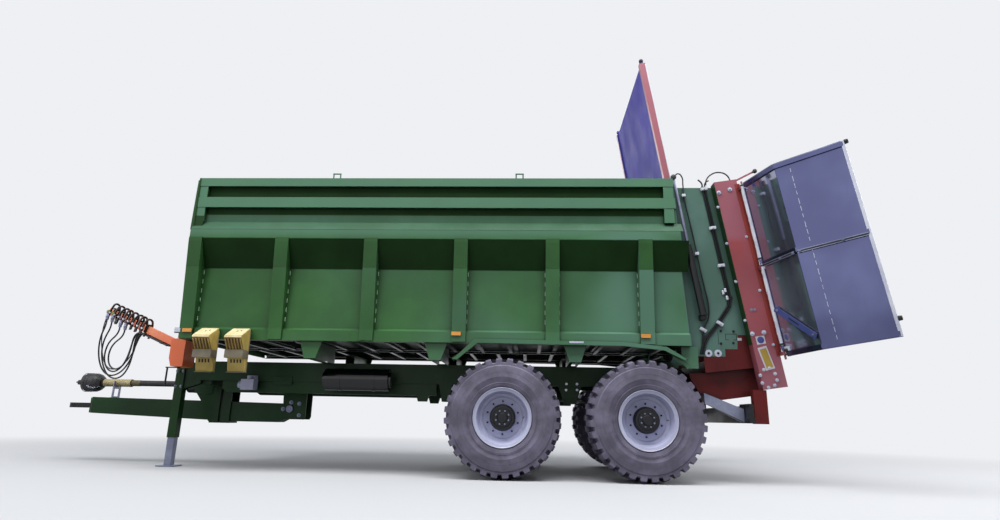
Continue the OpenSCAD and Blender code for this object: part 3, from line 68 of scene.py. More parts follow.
# The camera stands to the left of the machine, low and near, and looks slightly up
CAMERA_PLACE = (1.232, -7.632, 0.605)
CAMERA_TURNS = ((2.816, "Z"), (104.682, "X"), (1.135, "Z"))
CAMERA_LENS, CAMERA_SENSOR = 21.77, 36
BACKDROP = (0.86, 0.87, 0.90, 1)
SKY_LIGHT, SKY_STRENGTH = (0.80, 0.84, 0.92, 1), 0.30
FLOOR_LIT, FLOOR_SHOWN = (0.20, 0.20, 0.21, 1), (0.60, 0.61, 0.63, 1)
FLOOR_FADE = (4.5, 13.0)


def srgb(colour):
    """A colour of 0 to 255 as the linear colour that the shader takes."""
    def linear(value):
        value /= 255
        return value / 12.92 if value <= 0.04045 else ((value + 0.055) / 1.055) ** 2.4
    return (*map(linear, colour), 1.0)


class Tree:
    """The nodes of a material or of the world, with short calls for what repeats."""

    def __init__(self, owner):
        owner.use_nodes = True
        self.nodes, self.links = owner.node_tree.nodes, owner.node_tree.links

    def feed(self, node, sockets):
        """Gives each of these sockets a link from another node's output, or a constant."""
        for socket, value in sockets.items():
            if isinstance(value, bpy.types.NodeSocket):
                self.links.new(value, node.inputs[socket])
            else:
                node.inputs[socket].default_value = value

    def add(self, kind, sockets, **settings):
        """The outputs of a new node."""
        node = self.nodes.new("ShaderNode" + kind)
        for setting, value in settings.items():
            setattr(node, setting, value)
        self.feed(node, sockets)
        return node.outputs

    def calculate(self, operation, first, second):
        return self.add("Math", {0: first, 1: second}, operation=operation)[0]

    def shown_rays(self):
        """1 for rays from the camera, a mirror or glass, and 0 for rays that light the machine."""
        rays = self.add("LightPath", {})
        seen = self.calculate("MAXIMUM", rays["Is Camera Ray"], rays["Is Transmission Ray"])
        return self.calculate("MAXIMUM", seen, rays["Is Glossy Ray"])

    def blended(self, factor, first, second):
        """A shader mixed from two others."""
        return self.add("MixShader", {0: factor, 1: first, 2: second})[0]


class Finish(Tree):
    """A material painted by Object coordinates, which keeps the name of a slot from the record."""

    def __init__(self, name, slot=None):
        self.material = bpy.data.materials.new(name)
        super().__init__(self.material)
        self.slot = slot
        self.shader = self.nodes["Principled BSDF"]
        self.coords = self.add("TexCoord", {})["Object"]

    def give(self, sockets):
        self.feed(self.shader, sockets)

    def noise(self, scale, detail=4.0, roughness=0.55, stretch=None):
        coords = self.coords
        if stretch:
            coords = self.add("Mapping", {"Scale": stretch, "Vector": coords})["Vector"]
        sockets = {"Vector": coords, "Scale": scale, "Detail": detail, "Roughness": roughness}
        return self.add("TexNoise", sockets)["Fac"]

    def spread(self, value, low, high, to_low=0.0, to_high=1.0):
        """Maps a value's range smoothly to another."""
        sockets = {"Value": value, "From Min": low, "From Max": high, "To Min": to_low, "To Max": to_high}
        return self.add("MapRange", sockets, interpolation_type="SMOOTHSTEP")["Result"]

    def mix(self, factor, first, second):
        return self.add("Mix", {"Factor": factor, 6: first, 7: second}, data_type="RGBA")[2]

    def bump(self, height, distance, strength):
        sockets = {"Height": height, "Distance": distance, "Strength": strength}
        self.give({"Normal": self.add("Bump", sockets)["Normal"]})


# Camera and light
def area_light(name, place, target, size, power):
    data = bpy.data.lights.new(name, "AREA")
    data.shape = "RECTANGLE"
    data.size, data.size_y = size
    data.energy = power
    light = bpy.data.objects.new(name, data)
    bpy.context.collection.objects.link(light)
    light.location = place
    light.rotation_euler = (Vector(target) - Vector(place)).to_track_quat("-Z", "Y").to_euler()


camera_data = bpy.data.cameras.new("camera")
camera = bpy.data.objects.new("camera", camera_data)
bpy.context.collection.objects.link(camera)
camera.location = CAMERA_PLACE
camera_turn = Matrix.Identity(3)
for degrees, axis in CAMERA_TURNS:
    camera_turn = camera_turn @ Matrix.Rotation(math.radians(degrees), 3, axis)
camera.rotation_euler = camera_turn.to_euler()
camera_data.sensor_width = CAMERA_SENSOR
camera_data.lens = CAMERA_LENS
camera_data.clip_end = 200
bpy.context.scene.camera = camera
bpy.context.scene.view_settings.view_transform = "Standard"

area_light("sky_panel", (0.8, -4.4, 9.8), (0.5, 0, 1.5), (13, 4.5), 1260)
area_light("left_panel", (-3.0, -11.0, 4.0), (0.5, 0, 1.4), (10, 5), 80)
area_light("front_panel", (-11.0, -2.5, 5.0), (0, 0, 1.5), (6, 5), 320)
area_light("rear_panel", (11.0, -1.0, 6.0), (2, 0, 1.6), (6, 5), 480)
area_light("right_panel", (1.0, 10.0, 6.5), (0.5, 0, 1.5), (10, 5), 330)

world = bpy.data.worlds.new("studio")
bpy.context.scene.world = world
sky = Tree(world)
sky.nodes.clear()
lit = sky.add("Background", {"Color": SKY_LIGHT, "Strength": SKY_STRENGTH})[0]
shown = sky.add("Background", {"Color": BACKDROP, "Strength": 1.0})[0]
sky.add("OutputWorld", {"Surface": sky.blended(sky.shown_rays(), lit, shown)})


# Finishes
def coated_metal(name, slot, colour, shade, rough=0.36, specular=0.35, coat=0.10, sheen=None, recess_shading=0.30):
    """Sprayed paint: slow changes of tone and rain streaks, with painted shade darkening its recesses and, on
    large panels,
    painted sky reflection: a cool sheen that grows to the rear and on the upper bands."""
    paint = Finish(name, slot)
    colour, shade = srgb(colour), srgb(shade)
    painted = paint.mix(paint.spread(paint.noise(1.3), 0.35, 0.68), shade, colour)
    streak = paint.spread(paint.noise(6.0, 2.0, 0.5, (1, 1, 0.08)), 0.50, 0.78, 0.0, 0.25)
    painted = paint.mix(streak, painted, shade)
    # Painted reflection: the colour of a sky sheen, stronger to the rear, in cloudy patches and on the upper
    # bands
    if sheen:
        split = paint.add("SeparateXYZ", {0: paint.coords})
        rearward = paint.spread(split["X"], -2.4, 3.4, 0.10, 0.85)
        cloud = paint.spread(paint.noise(0.75, 2.0, 0.4), 0.34, 0.62, 0.25, 1.0)
        upward = paint.spread(split["Z"], 2.46, 2.62, 0.0, 0.62)
        sheen_amount = paint.calculate("MAXIMUM", paint.calculate("MULTIPLY", rearward, cloud), upward)
        painted = paint.mix(sheen_amount, painted, srgb(sheen))
    # Painted shade: ambient occlusion darkens recesses, corners and undersides towards a dark copy of the
    # paint
    if recess_shading:
        recess = paint.add("AmbientOcclusion", {"Distance": 0.32}, samples=8)["AO"]
        dark = (*(value * recess_shading for value in shade[:3]), 1.0)
        painted = paint.mix(paint.spread(recess, 0.30, 0.86), dark, painted)
    paint.give({"Base Color": painted, "Specular IOR Level": specular, "Coat Weight": coat,
                "Roughness": paint.spread(paint.noise(3.1), 0.3, 0.7, rough - 0.05, rough + 0.08),
                "Coat Roughness": 0.15})
    paint.bump(paint.noise(160.0, 2.0), 0.0003, 0.12)
    return paint


def zinc_coat(name, slot, colour, shade, rough=0.42, metallic=0.55, spangle=0.30):
    """Hot-dip galvanised steel: cloudy, with faint crystals."""
    zinc = Finish(name, slot)
    colour, shade = srgb(colour), srgb(shade)
    crystal = zinc.add("TexVoronoi", {"Scale": 90.0, "Vector": zinc.coords})["Color"]
    split = zinc.add("SeparateColor", {0: crystal})
    cloudy = zinc.mix(zinc.spread(zinc.noise(2.2, 5.0), 0.35, 0.70), shade, colour)
    cells = zinc.calculate("MULTIPLY", split[0], spangle)
    zinc.give({"Base Color": zinc.mix(cells, cloudy, shade), "Metallic": metallic,
               "Roughness": zinc.spread(split[1], 0.0, 1.0, rough - 0.04, rough + 0.05)})
    return zinc


def sheet_metal(name, slot, colour, shade, rough=0.13):
    """Smooth bright sheet that mirrors what stands before it, with faint clouds and rolling marks."""
    sheet = Finish(name, slot)
    colour, shade = srgb(colour), srgb(shade)
    cloud = sheet.spread(sheet.noise(1.1, 3.0, 0.5), 0.36, 0.66)
    rolled = sheet.spread(sheet.noise(26.0, 3.0, 0.5, (1, 1, 0.05)), 0.45, 0.75, 0.0, 0.20)
    sheet.give({"Base Color": sheet.mix(rolled, sheet.mix(cloud, shade, colour), shade), "Metallic": 0.88,
                "Roughness": sheet.spread(cloud, 0.0, 1.0, rough, rough + 0.10)})
    return sheet


def rubber(name, slot, colour, shade, rough, dust, grain=120.0):
    """Rubber with a fine grain, paler and dusty in patches."""
    skin = Finish(name, slot)
    tone = skin.spread(skin.noise(4.0, 6.0, 0.6), 0.35, 0.70)
    patch = skin.spread(skin.noise(11.0, 8.0, 0.7), 0.45, 0.72)
    clean = skin.mix(tone, srgb(shade), srgb(colour))
    dusty = skin.mix(skin.calculate("MULTIPLY", patch, dust), clean, srgb((112, 104, 104)))
    skin.give({"Base Color": dusty, "Specular IOR Level": 0.35,
               "Roughness": skin.spread(patch, 0.0, 1.0, rough - 0.12, rough)})
    skin.bump(skin.noise(grain, 3.0), 0.0008, 0.35)
    return skin


def moulded(name, slot, colour, shade, rough=0.5):
    """Moulded plastic with a faint grain and slight fading."""
    plastic = Finish(name, slot)
    tone = plastic.spread(plastic.noise(6.0, 5.0), 0.35, 0.68)
    plastic.give({"Base Color": plastic.mix(tone, srgb(shade), srgb(colour)),
                  "Roughness": plastic.spread(plastic.noise(14.0), 0.3, 0.7, rough - 0.08, rough + 0.1)})
    plastic.bump(plastic.noise(160.0, 2.0), 0.0003, 0.25)
    return plastic


def lens(name, slot, colour, shade):
    """Ribbed lamp glass."""
    glass = Finish(name, slot)
    wave = glass.add("TexWave", {"Vector": glass.coords, "Scale": 60.0, "Distortion": 0.3})["Fac"]
    glass.give({"Base Color": glass.mix(wave, srgb(shade), srgb(colour)), "Roughness": 0.16,
                "Coat Weight": 0.6})
    glass.bump(wave, 0.0008, 0.5)
    return glass


# Paints: name, slot, colour, darker tone, roughness, specular, coat
# The sheen keyword gives a painted sky reflection; the other keyword sets how strongly painted shade darkens
# recesses
GREEN = coated_metal("green_paint", "green_paint", (52, 104, 46), (40, 86, 34), 0.36, 0.25, 0.06,
                     sheen=(96, 138, 118))
# Painted shade: a dark copy of the green for skins over the recesses and the undercut
PAINTED_SHADE_GREEN = coated_metal("painted_shade_green", "green_paint", (26, 58, 22), (20, 48, 16), 0.5, 0.10, 0.0,
                           recess_shading=0.5)
# Painted sheen: a bluish copy of the green for bands that reflect the sky
PAINTED_SHEEN_GREEN = coated_metal("painted_sheen_green", "green_paint", (60, 100, 76), (50, 88, 62), 0.36, 0.25)
# Painted sheen: a paler bluish green on the housings for their sky reflection
HOUSING_SHEEN_GREEN = coated_metal("housing_sheen_green", "green_paint", (94, 128, 118), (78, 110, 98), 0.36, 0.25,
                             recess_shading=0.5)
# Painted highlight: pale green for the glint on the weld stitches
STITCH_HIGHLIGHT = coated_metal("weld_stitch_highlight", "green_paint", (168, 196, 172), (140, 170, 146), 0.3, recess_shading=0.0)
DARK_GREEN = coated_metal("dark_green_paint", "dark_green_paint", (27, 60, 30), (20, 46, 22),
                          0.45, 0.18, 0.03, recess_shading=0.5)
FLANGE_GREEN = coated_metal("flange_green", "green_paint", (30, 68, 30), (24, 56, 24), 0.45, 0.18, 0.03,
                            recess_shading=0.5)
# Painted shade: a darker copy of the green for the ribs in the undercut and the front corner
RIB_PAINTED_SHADE = coated_metal("rib_painted_shade", "green_paint", (48, 94, 46), (40, 80, 38), 0.42, 0.2)
RED = coated_metal("red_paint", "red_paint", (166, 66, 66), (144, 52, 48), sheen=(156, 104, 120))
RED_EDGE = coated_metal("red_edge", "red_paint", (150, 52, 44), (126, 42, 36))
# Painted shade: a dark red for undersides that lie in shade
RED_PAINTED_SHADE = coated_metal("red_painted_shade", "red_paint", (104, 32, 32), (70, 24, 24), 0.5, 0.15)
BLUE = coated_metal("blue_paint", "blue_paint", (80, 76, 168), (66, 62, 150), 0.60, 0.15, 0.0)
STAY_BLUE = coated_metal("stay_blue", "blue_paint", (74, 88, 150), (62, 74, 132), 0.4)
BLANK_BLUE = coated_metal("blank_blue", "blue_paint", (70, 84, 150), (58, 70, 132), 0.35)
ORANGE = coated_metal("orange_paint", "orange_paint", (255, 150, 104), (244, 124, 82), 0.38, recess_shading=0.0)
SILVER = coated_metal("silver_paint", "silver_paint", (202, 204, 232), (174, 176, 204), 0.34, recess_shading=0.0)
BLACK = coated_metal("black_steel", "black_steel", (20, 21, 26), (13, 14, 18), 0.36, 0.30, recess_shading=0.0)
GLOSS_BLACK = coated_metal("gloss_black", "black_steel", (12, 13, 18), (9, 10, 14), 0.16, 0.35, 0.2, recess_shading=0.0)
PLATE = coated_metal("plate_face", "galvanised", (214, 212, 220), (196, 194, 204), 0.35)
YELLOW_PLATE = coated_metal("yellow_plate", "yellow_plastic", (186, 158, 70), (164, 136, 56), 0.35)

# Metals, rubbers, plastics and lamp glass
ZINC = zinc_coat("galvanised", "galvanised", (150, 154, 176), (112, 116, 140))
BRIGHT = zinc_coat("bright_zinc", "galvanised", (214, 216, 226), (182, 186, 204), 0.34, 0.35, 0.15)
SHEET = sheet_metal("door_sheet", "galvanised", (100, 106, 144), (84, 87, 122))
MIRROR = sheet_metal("door_mirror", "galvanised", (176, 178, 198), (158, 160, 182), 0.06)
TYRE = rubber("tyre_rubber", "tyre_rubber", (128, 123, 145), (92, 89, 106), 0.70, 0.22)
TYRE_LINE = rubber("tyre_line", "tyre_rubber", (112, 108, 122), (88, 85, 98), 0.6, 0.0)
HOSE = rubber("hose_rubber", "hose_rubber", (20, 20, 26), (12, 12, 16), 0.42, 0.0, 300.0)
BUFFER = rubber("rubber_black", "rubber_black", (28, 28, 31), (18, 18, 20), 0.7, 0.1)
PLASTIC = moulded("black_plastic", "black_plastic", (28, 28, 33), (18, 18, 22), 0.45)
# Near-black for dark seams and lines, and painted shade in slots and holes drawn as skins
SHADOW = moulded("hole_shade_and_seams", "black_steel", (10, 10, 12), (6, 6, 8), 0.8)
OLIVE = moulded("olive_guard", "black_plastic", (112, 98, 58), (88, 78, 46))
CREAM = moulded("cream_guard", "black_plastic", (192, 178, 132), (172, 156, 112))
BROWN = moulded("brown_grip", "black_plastic", (84, 48, 42), (58, 34, 30), 0.45)
LIME = moulded("lime_cap", "black_plastic", (150, 156, 62), (118, 124, 46), 0.45)
TAN = moulded("tan_cap", "black_plastic", (160, 134, 108), (126, 102, 80), 0.45)
YELLOW = moulded("yellow_plastic", "yellow_plastic", (212, 186, 102), (188, 162, 84))
# Painted light: a pale copy of the yellow for the chocks' lit tops
CHOCK_LIT_TOP = moulded("chock_lit_top", "yellow_plastic", (238, 224, 180), (222, 206, 156))
# Painted shade: a brown copy of the yellow for the chocks' shaded overhanging fronts
CHOCK_SHADED_FRONT = moulded("chock_shaded_front", "yellow_plastic", (120, 84, 40), (88, 60, 28))
CHOCK_BAND = moulded("grey_band", "galvanised", (140, 132, 110), (118, 110, 92))
WHITE = moulded("white_clip", "galvanised", (226, 230, 240), (198, 202, 216), 0.4)
AMBER = lens("amber_lens", "amber_lens", (246, 168, 46), (214, 126, 22))
RED_LENS = lens("red_lens", "amber_lens", (190, 34, 40), (140, 18, 26))
CLEAR_LENS = lens("clear_lens", "amber_lens", (224, 228, 240), (170, 178, 205))


def paint_node(name, finish):
    for material_slot in frame["nodes"][name].material_slots:
        material_slot.material = finish.material


SLOT_FINISH = {finish.slot: finish for finish in (
    TYRE, BUFFER, HOSE, SILVER, DARK_GREEN, GREEN, RED, BLUE, ORANGE, BLACK, ZINC, PLASTIC, YELLOW, AMBER)}
for part in frame["record"]["subparts"]:
    paint_node(part["node"], SLOT_FINISH[part["material_slot"]])
# The housings take a paler bluish green of painted sky sheen; the beater bed, rear pan and rear legs take
# dark red painted shade
for name, finish in (("door_left", SHEET), ("door_right", SHEET), ("air_tank", GLOSS_BLACK),
                     ("jack_tube", FLANGE_GREEN), ("housings", HOUSING_SHEEN_GREEN), ("beater_bed", RED_PAINTED_SHADE),
                     ("rear_pan", RED_PAINTED_SHADE), ("rear_legs", RED_PAINTED_SHADE)):
    paint_node(name, finish)


# Ways of making a piece
def nothing_selected():
    bpy.ops.object.select_all(action="DESELECT")


def only(active, *others):
    """Selects these pieces alone, with the first as the active one."""
    nothing_selected()
    for piece in (active, *others):
        piece.select_set(True)
    bpy.context.view_layer.objects.active = active


def settle(piece):
    """Puts the piece's place into its mesh and leaves its object at the origin."""
    only(piece)
    bpy.ops.object.transform_apply(location=True, rotation=True, scale=True)
    return piece


def rounded(piece, width):
    if width:
        only(piece)
        modifier = piece.modifiers.new("edges", "BEVEL")
        modifier.width = width
        modifier.segments = 2
        modifier.limit_method = "ANGLE"
        bpy.ops.object.modifier_apply(modifier="edges")
    return piece


def smooth(piece, degrees=35):
    only(piece)
    bpy.ops.object.shade_smooth_by_angle(angle=math.radians(degrees))
    return piece


def block(low, high, edge=0.003):
    """A block between two corners, with its edges rounded off."""
    nothing_selected()
    low, high = Vector(low), Vector(high)
    bpy.ops.mesh.primitive_cube_add(size=1, location=(low + high) / 2, scale=high - low)
    return rounded(settle(bpy.context.object), edge)


def bar(start, end, diameter, sides=24, edge=0.0):
    """A round or many-sided bar from one point to another."""
    nothing_selected()
    start, end = Vector(start), Vector(end)
    run = end - start
    bpy.ops.mesh.primitive_cylinder_add(
        vertices=sides, radius=diameter / 2, depth=run.length,
        location=(start + end) / 2, rotation=run.to_track_quat("Z", "Y").to_euler())
    return rounded(settle(bpy.context.object), edge)


def ball(centre, radius, segments):
    nothing_selected()
    bpy.ops.mesh.primitive_uv_sphere_add(
        segments=segments, ring_count=segments // 2, radius=radius, location=centre)
    return smooth(settle(bpy.context.object), 60)


def ring(centre, axis, major, minor, around, across):
    nothing_selected()
    bpy.ops.mesh.primitive_torus_add(
        major_radius=major, minor_radius=minor, major_segments=around, minor_segments=across,
        location=centre, rotation=Vector(axis).to_track_quat("Z", "Y").to_euler())
    return settle(bpy.context.object)


def trace(points):
    """Leaves a new mesh in edit mode, with a chain of edges through the points."""
    nothing_selected()
    bpy.ops.mesh.primitive_plane_add(size=0.01)
    bpy.ops.object.mode_set(mode="EDIT")
    bpy.ops.mesh.merge(type="CENTER")
    bpy.ops.transform.translate(value=points[0])
    for start, end in zip(points, points[1:]):
        run = tuple(b - a for a, b in zip(start, end))
        bpy.ops.mesh.extrude_vertices_move(TRANSFORM_OT_translate={"value": run})
    bpy.ops.mesh.select_all(action="SELECT")


def finish_mesh():
    """Turns the faces right side out and leaves edit mode."""
    bpy.ops.mesh.normals_make_consistent(inside=False)
    bpy.ops.object.mode_set(mode="OBJECT")
    return bpy.context.object


def spun(profile, centre, axis, steps=40):
    """A turned piece: its profile in radius and height, spun round the axis from the centre."""
    trace([(radius, 0, height) for radius, height in profile])
    bpy.ops.mesh.spin(steps=steps, angle=math.tau, center=(0, 0, 0), axis=(0, 0, 1))
    bpy.ops.mesh.select_all(action="SELECT")
    bpy.ops.mesh.remove_doubles(threshold=0.00005)
    piece = finish_mesh()
    piece.rotation_euler = Vector(axis).to_track_quat("Z", "Y").to_euler()
    piece.location = centre
    return smooth(settle(piece))


def prism(outline, plane, low, high, edge=0.0):
    """An outline in the plane XZ, YZ or XY, drawn out from low to high along the third axis."""
    order = {"XZ": (0, 2, 1), "YZ": (2, 0, 1), "XY": (0, 1, 2)}[plane]

    def place(*values):
        return tuple(values[i] for i in order)

    trace([place(first, second, low) for first, second in outline])
    bpy.ops.mesh.edge_face_add()
    bpy.ops.mesh.extrude_region_move(TRANSFORM_OT_translate={"value": place(0, 0, high - low)})
    bpy.ops.mesh.select_all(action="SELECT")
    return rounded(settle(finish_mesh()), edge)


def round_curve(name, kind, diameter, steps, roundness):
    """A curve with a round section: its object and its open spline."""
    data = bpy.data.curves.new(name, "CURVE")
    data.dimensions = "3D"
    data.resolution_u = steps
    data.bevel_depth = diameter / 2
    data.bevel_resolution = roundness
    data.use_fill_caps = True
    piece = bpy.data.objects.new(name, data)
    bpy.context.collection.objects.link(piece)
    return piece, data.splines.new(kind)


def tube(points, diameter, steps=6):
    """A bent rod or pipe along smooth handles through its points, made a mesh."""
    piece, spline = round_curve("tube", "BEZIER", diameter, steps, 3)
    spline.bezier_points.add(len(points) - 1)
    for knot, point in zip(spline.bezier_points, points):
        knot.co = point
        knot.handle_left_type = knot.handle_right_type = "AUTO"
    only(piece)
    bpy.ops.object.convert(target="MESH")
    return smooth(bpy.context.object, 50)


def leaned(x, y, z=WALL_TOP):
    """The frame of a piece that leans forward with the rear of the tub; z runs up it."""
    return Matrix.Translation((x, y, z)) @ Matrix.Rotation(-LEAN, 4, "Y")


def moved(piece, matrix):
    """The piece's mesh taken through a matrix, turned right side out after a mirror."""
    piece.data.transform(matrix)
    if matrix.determinant() < 0:
        piece.data.flip_normals()
    return piece


def strip_between(start, end, width, low, high, edge):
    """A flat bar in the XZ plane from one (x, z) to another, between two places along Y."""
    (x0, z0), (x1, z1) = start, end
    piece = block((0, low, -width / 2), (math.hypot(x1 - x0, z1 - z0), high, width / 2), edge)
    turn = Matrix.Rotation(-math.atan2(z1 - z0, x1 - x0), 4, "Y")
    return moved(piece, Matrix.Translation((x0, 0, z0)) @ turn)


def joined(name, parts, finish, body="machine"):
    """Joins parts into one named piece that rides on a body, in one finish."""
    only(*parts)
    if len(parts) > 1:
        bpy.ops.object.join()
    piece = bpy.context.object
    piece.name = name
    piece.data.name = name
    piece.data.materials.clear()
    piece.data.materials.append(finish.material)
    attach(piece, body)
    return piece


def laid_out(name, model, matrices, body, finish):
    """One piece from copies of a model; the model itself goes."""
    parts = []
    for matrix in matrices:
        piece = model.copy()
        piece.data = model.data.copy()
        bpy.context.collection.objects.link(piece)
        parts.append(moved(piece, matrix))
    bpy.data.objects.remove(model)
    return joined(name, parts, finish, body)


def facing(place, direction, spin):
    """The matrix that puts a model's Z axis along a direction at a place."""
    turn = Vector(direction).to_track_quat("Z", "Y").to_matrix().to_4x4()
    return Matrix.Translation(place) @ turn @ Matrix.Rotation(spin, 4, "Z")


def bolts(name, places, direction, across, head, body="machine", finish=ZINC, washer=0.003):
    """Hexagon heads with their studs' ends, each on a washer where it has one and turned its own way."""
    parts = []
    if washer:
        parts.append(bar((0, 0, 0), (0, 0, washer), across * 1.9, 20, washer * 0.25))
    top = washer + head
    parts.append(rounded(bar((0, 0, washer), (0, 0, top), across * 1.15, 6), across * 0.07))
    parts.append(bar((0, 0, top - 0.001), (0, 0, top + across * 0.25), across * 0.55, 12, across * 0.05))
    only(*reversed(parts))
    bpy.ops.object.join()
    matrices = [facing(place, direction, 0.35 * i) for i, place in enumerate(places)]
    return laid_out(name, bpy.context.object, matrices, body, finish)


class Side:
    """One side of the machine. What is drawn for the right side is mirrored in Y for the left."""

    def __init__(self, word, sign):
        self.word, self.sign = word, sign
        self.hand = Matrix.Scale(sign, 4, (0, 1, 0)) if sign < 0 else Matrix.Identity(4)
        self.out = (0, sign, 0)

    def piece(self, name, parts, finish, at=Matrix.Identity(4), body="machine"):
        """Joins parts that are drawn for the right side, in the frame at."""
        placed = [moved(part, self.hand @ at) for part in parts]
        return joined(f"{name}_{self.word}", placed, finish, body)

    def places(self, y, pairs):
        """Places at a distance y to this side, for pairs of x and z."""
        return [(x, self.sign * y, z) for x, z in pairs]

    def pipe(self, points, diameter):
        """A bent rod along points that are given for the right side."""
        return tube([self.hand @ Vector(point) for point in points], diameter)


SIDES = (Side("left", -1), Side("right", 1))

# Hoses and lead: name, node, length, diameter, way that the fitting points, its grip's finish
# and the points of the route, in millimetres ahead, to the left and up
HOSES = (
    ("hose_1_line", "hose_1", 1.581, 0.018, 1, LIME, (
        (3270, 655, 1485), (3325, 640, 1510), (3385, 620, 1500), (3425, 610, 1450), (3440, 605, 1375),
        (3455, 600, 1255), (3505, 590, 1140), (3585, 565, 1050), (3695, 540, 1005), (3800, 510, 1020),
        (3885, 495, 1090), (3940, 490, 1195), (3965, 495, 1315), (3960, 510, 1425), (3935, 530, 1525),
        (3870, 575, 1595), (3870, 575, 1675))),
    ("hose_2_line", "hose_2", 1.585, 0.018, 1, LIME, (
        (3275, 675, 1485), (3335, 660, 1510), (3392, 645, 1501), (3430, 635, 1450), (3438, 635, 1368),
        (3435, 635, 1235), (3465, 625, 1105), (3530, 605, 1005), (3630, 580, 965), (3740, 550, 995),
        (3820, 535, 1075), (3875, 525, 1185), (3900, 530, 1305), (3885, 545, 1415), (3845, 565, 1505),
        (3790, 595, 1565), (3790, 595, 1645))),
    ("hose_3_line", "hose_3", 1.359, 0.018, 1, BROWN, (
        (3280, 700, 1485), (3340, 685, 1510), (3395, 670, 1500), (3435, 660, 1450), (3455, 655, 1375),
        (3475, 645, 1265), (3515, 635, 1155), (3580, 620, 1075), (3665, 595, 1045), (3755, 570, 1075),
        (3815, 560, 1155), (3835, 560, 1255), (3815, 570, 1355), (3765, 590, 1435), (3650, 635, 1495),
        (3650, 635, 1575))),
    ("hose_4_line", "hose_4", 1.230, 0.018, 1, BROWN, (
        (3290, 725, 1485), (3345, 705, 1510), (3395, 695, 1495), (3430, 685, 1440), (3435, 680, 1355),
        (3450, 680, 1235), (3495, 665, 1135), (3575, 645, 1075), (3675, 620, 1085), (3740, 600, 1155),
        (3760, 595, 1250), (3735, 605, 1340), (3675, 625, 1410), (3570, 655, 1465), (3570, 655, 1540))),
    ("lead_line", "lead_1", 1.753, 0.012, -1, TAN, (
        (3260, 630, 1485), (3320, 615, 1510), (3385, 595, 1505), (3425, 585, 1455), (3450, 575, 1375),
        (3495, 565, 1255), (3570, 545, 1155), (3675, 515, 1085), (3795, 485, 1085), (3890, 455, 1155),
        (3945, 440, 1265), (3990, 430, 1395), (4010, 425, 1525), (4005, 425, 1645), (3970, 435, 1765),
        (3925, 450, 1826), (3866, 465, 1840), (3825, 475, 1804), (3825, 475, 1750))),
)
SLEEVE_FORM = ((0.0090, 0.0), (0.0180, 0.001), (0.0180, 0.030), (0.0200, 0.034), (0.0200, 0.052),
               (0.0180, 0.056), (0.0175, 0.086), (0.0, 0.087))
CAP_FORM = ((0.0, 0.118), (0.010, 0.118), (0.015, 0.113), (0.0175, 0.109), (0.0205, 0.104),
            (0.0205, 0.086), (0.0190, 0.082), (0.0, 0.081))

# Each line ends in its fitting: a swaged sleeve and a capped coupling with a coloured grip
for name, node, length, diameter, upward, grip, route in HOSES:
    points = [Vector((-ahead, -left, up)) / 1000 for ahead, left, up in route]
    line, spline = round_curve(name, "NURBS", diameter, 8, 4)
    spline.points.add(len(points) - 1)
    for knot, point in zip(spline.points, points):
        knot.co = (*point, 1)
    spline.order_u = 4
    spline.use_endpoint_u = True
    line.data.materials.append(HOSE.material)
    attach(line, "machine")
    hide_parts(node)
    sleeve = spun(SLEEVE_FORM, points[-1], (0, 0, upward), 24)
    joined(node + "_sleeve", [sleeve], ZINC)
    cap = spun(CAP_FORM, points[-1], (0, 0, upward), 24)
    joined(node + "_cap", [cap], grip)

# Wheels: distances along Y are measured out from each wheel's middle plane
STUDS, STUD_R = 10, 0.1675
HUB_BOLTS, HUB_BOLT_R = 8, 0.070
HUB_FORM = ((0.136, 0.122), (0.138, 0.126), (0.126, 0.192), (0.120, 0.198), (0.100, 0.199), (0.096, 0.203),
            (0.094, 0.211), (0.058, 0.211), (0.054, 0.215), (0.052, 0.232), (0.044, 0.240), (0.0, 0.242))
WHEEL_RINGS = (  # name, distance out, radius, half thickness, steps round and across, finish, slot
    ("tyre_rings", 0.2780, 0.352, 0.0040, 64, 10, TYRE, None),
    ("tyre_line", 0.2738, 0.462, 0.0022, 72, 6, TYRE_LINE, None),
    # The rim's lip ring: a real lip in bright zinc that paints its highlight
    ("rim_lip_highlight", 0.2575, 0.3005, 0.0045, 64, 8, BRIGHT, "silver_paint"),
)
LUGS, LUG_R, LUG_SKEW = 32, 0.573, math.radians(14)
LUG_HALF = Vector((0.012, 0.075, 0.005))


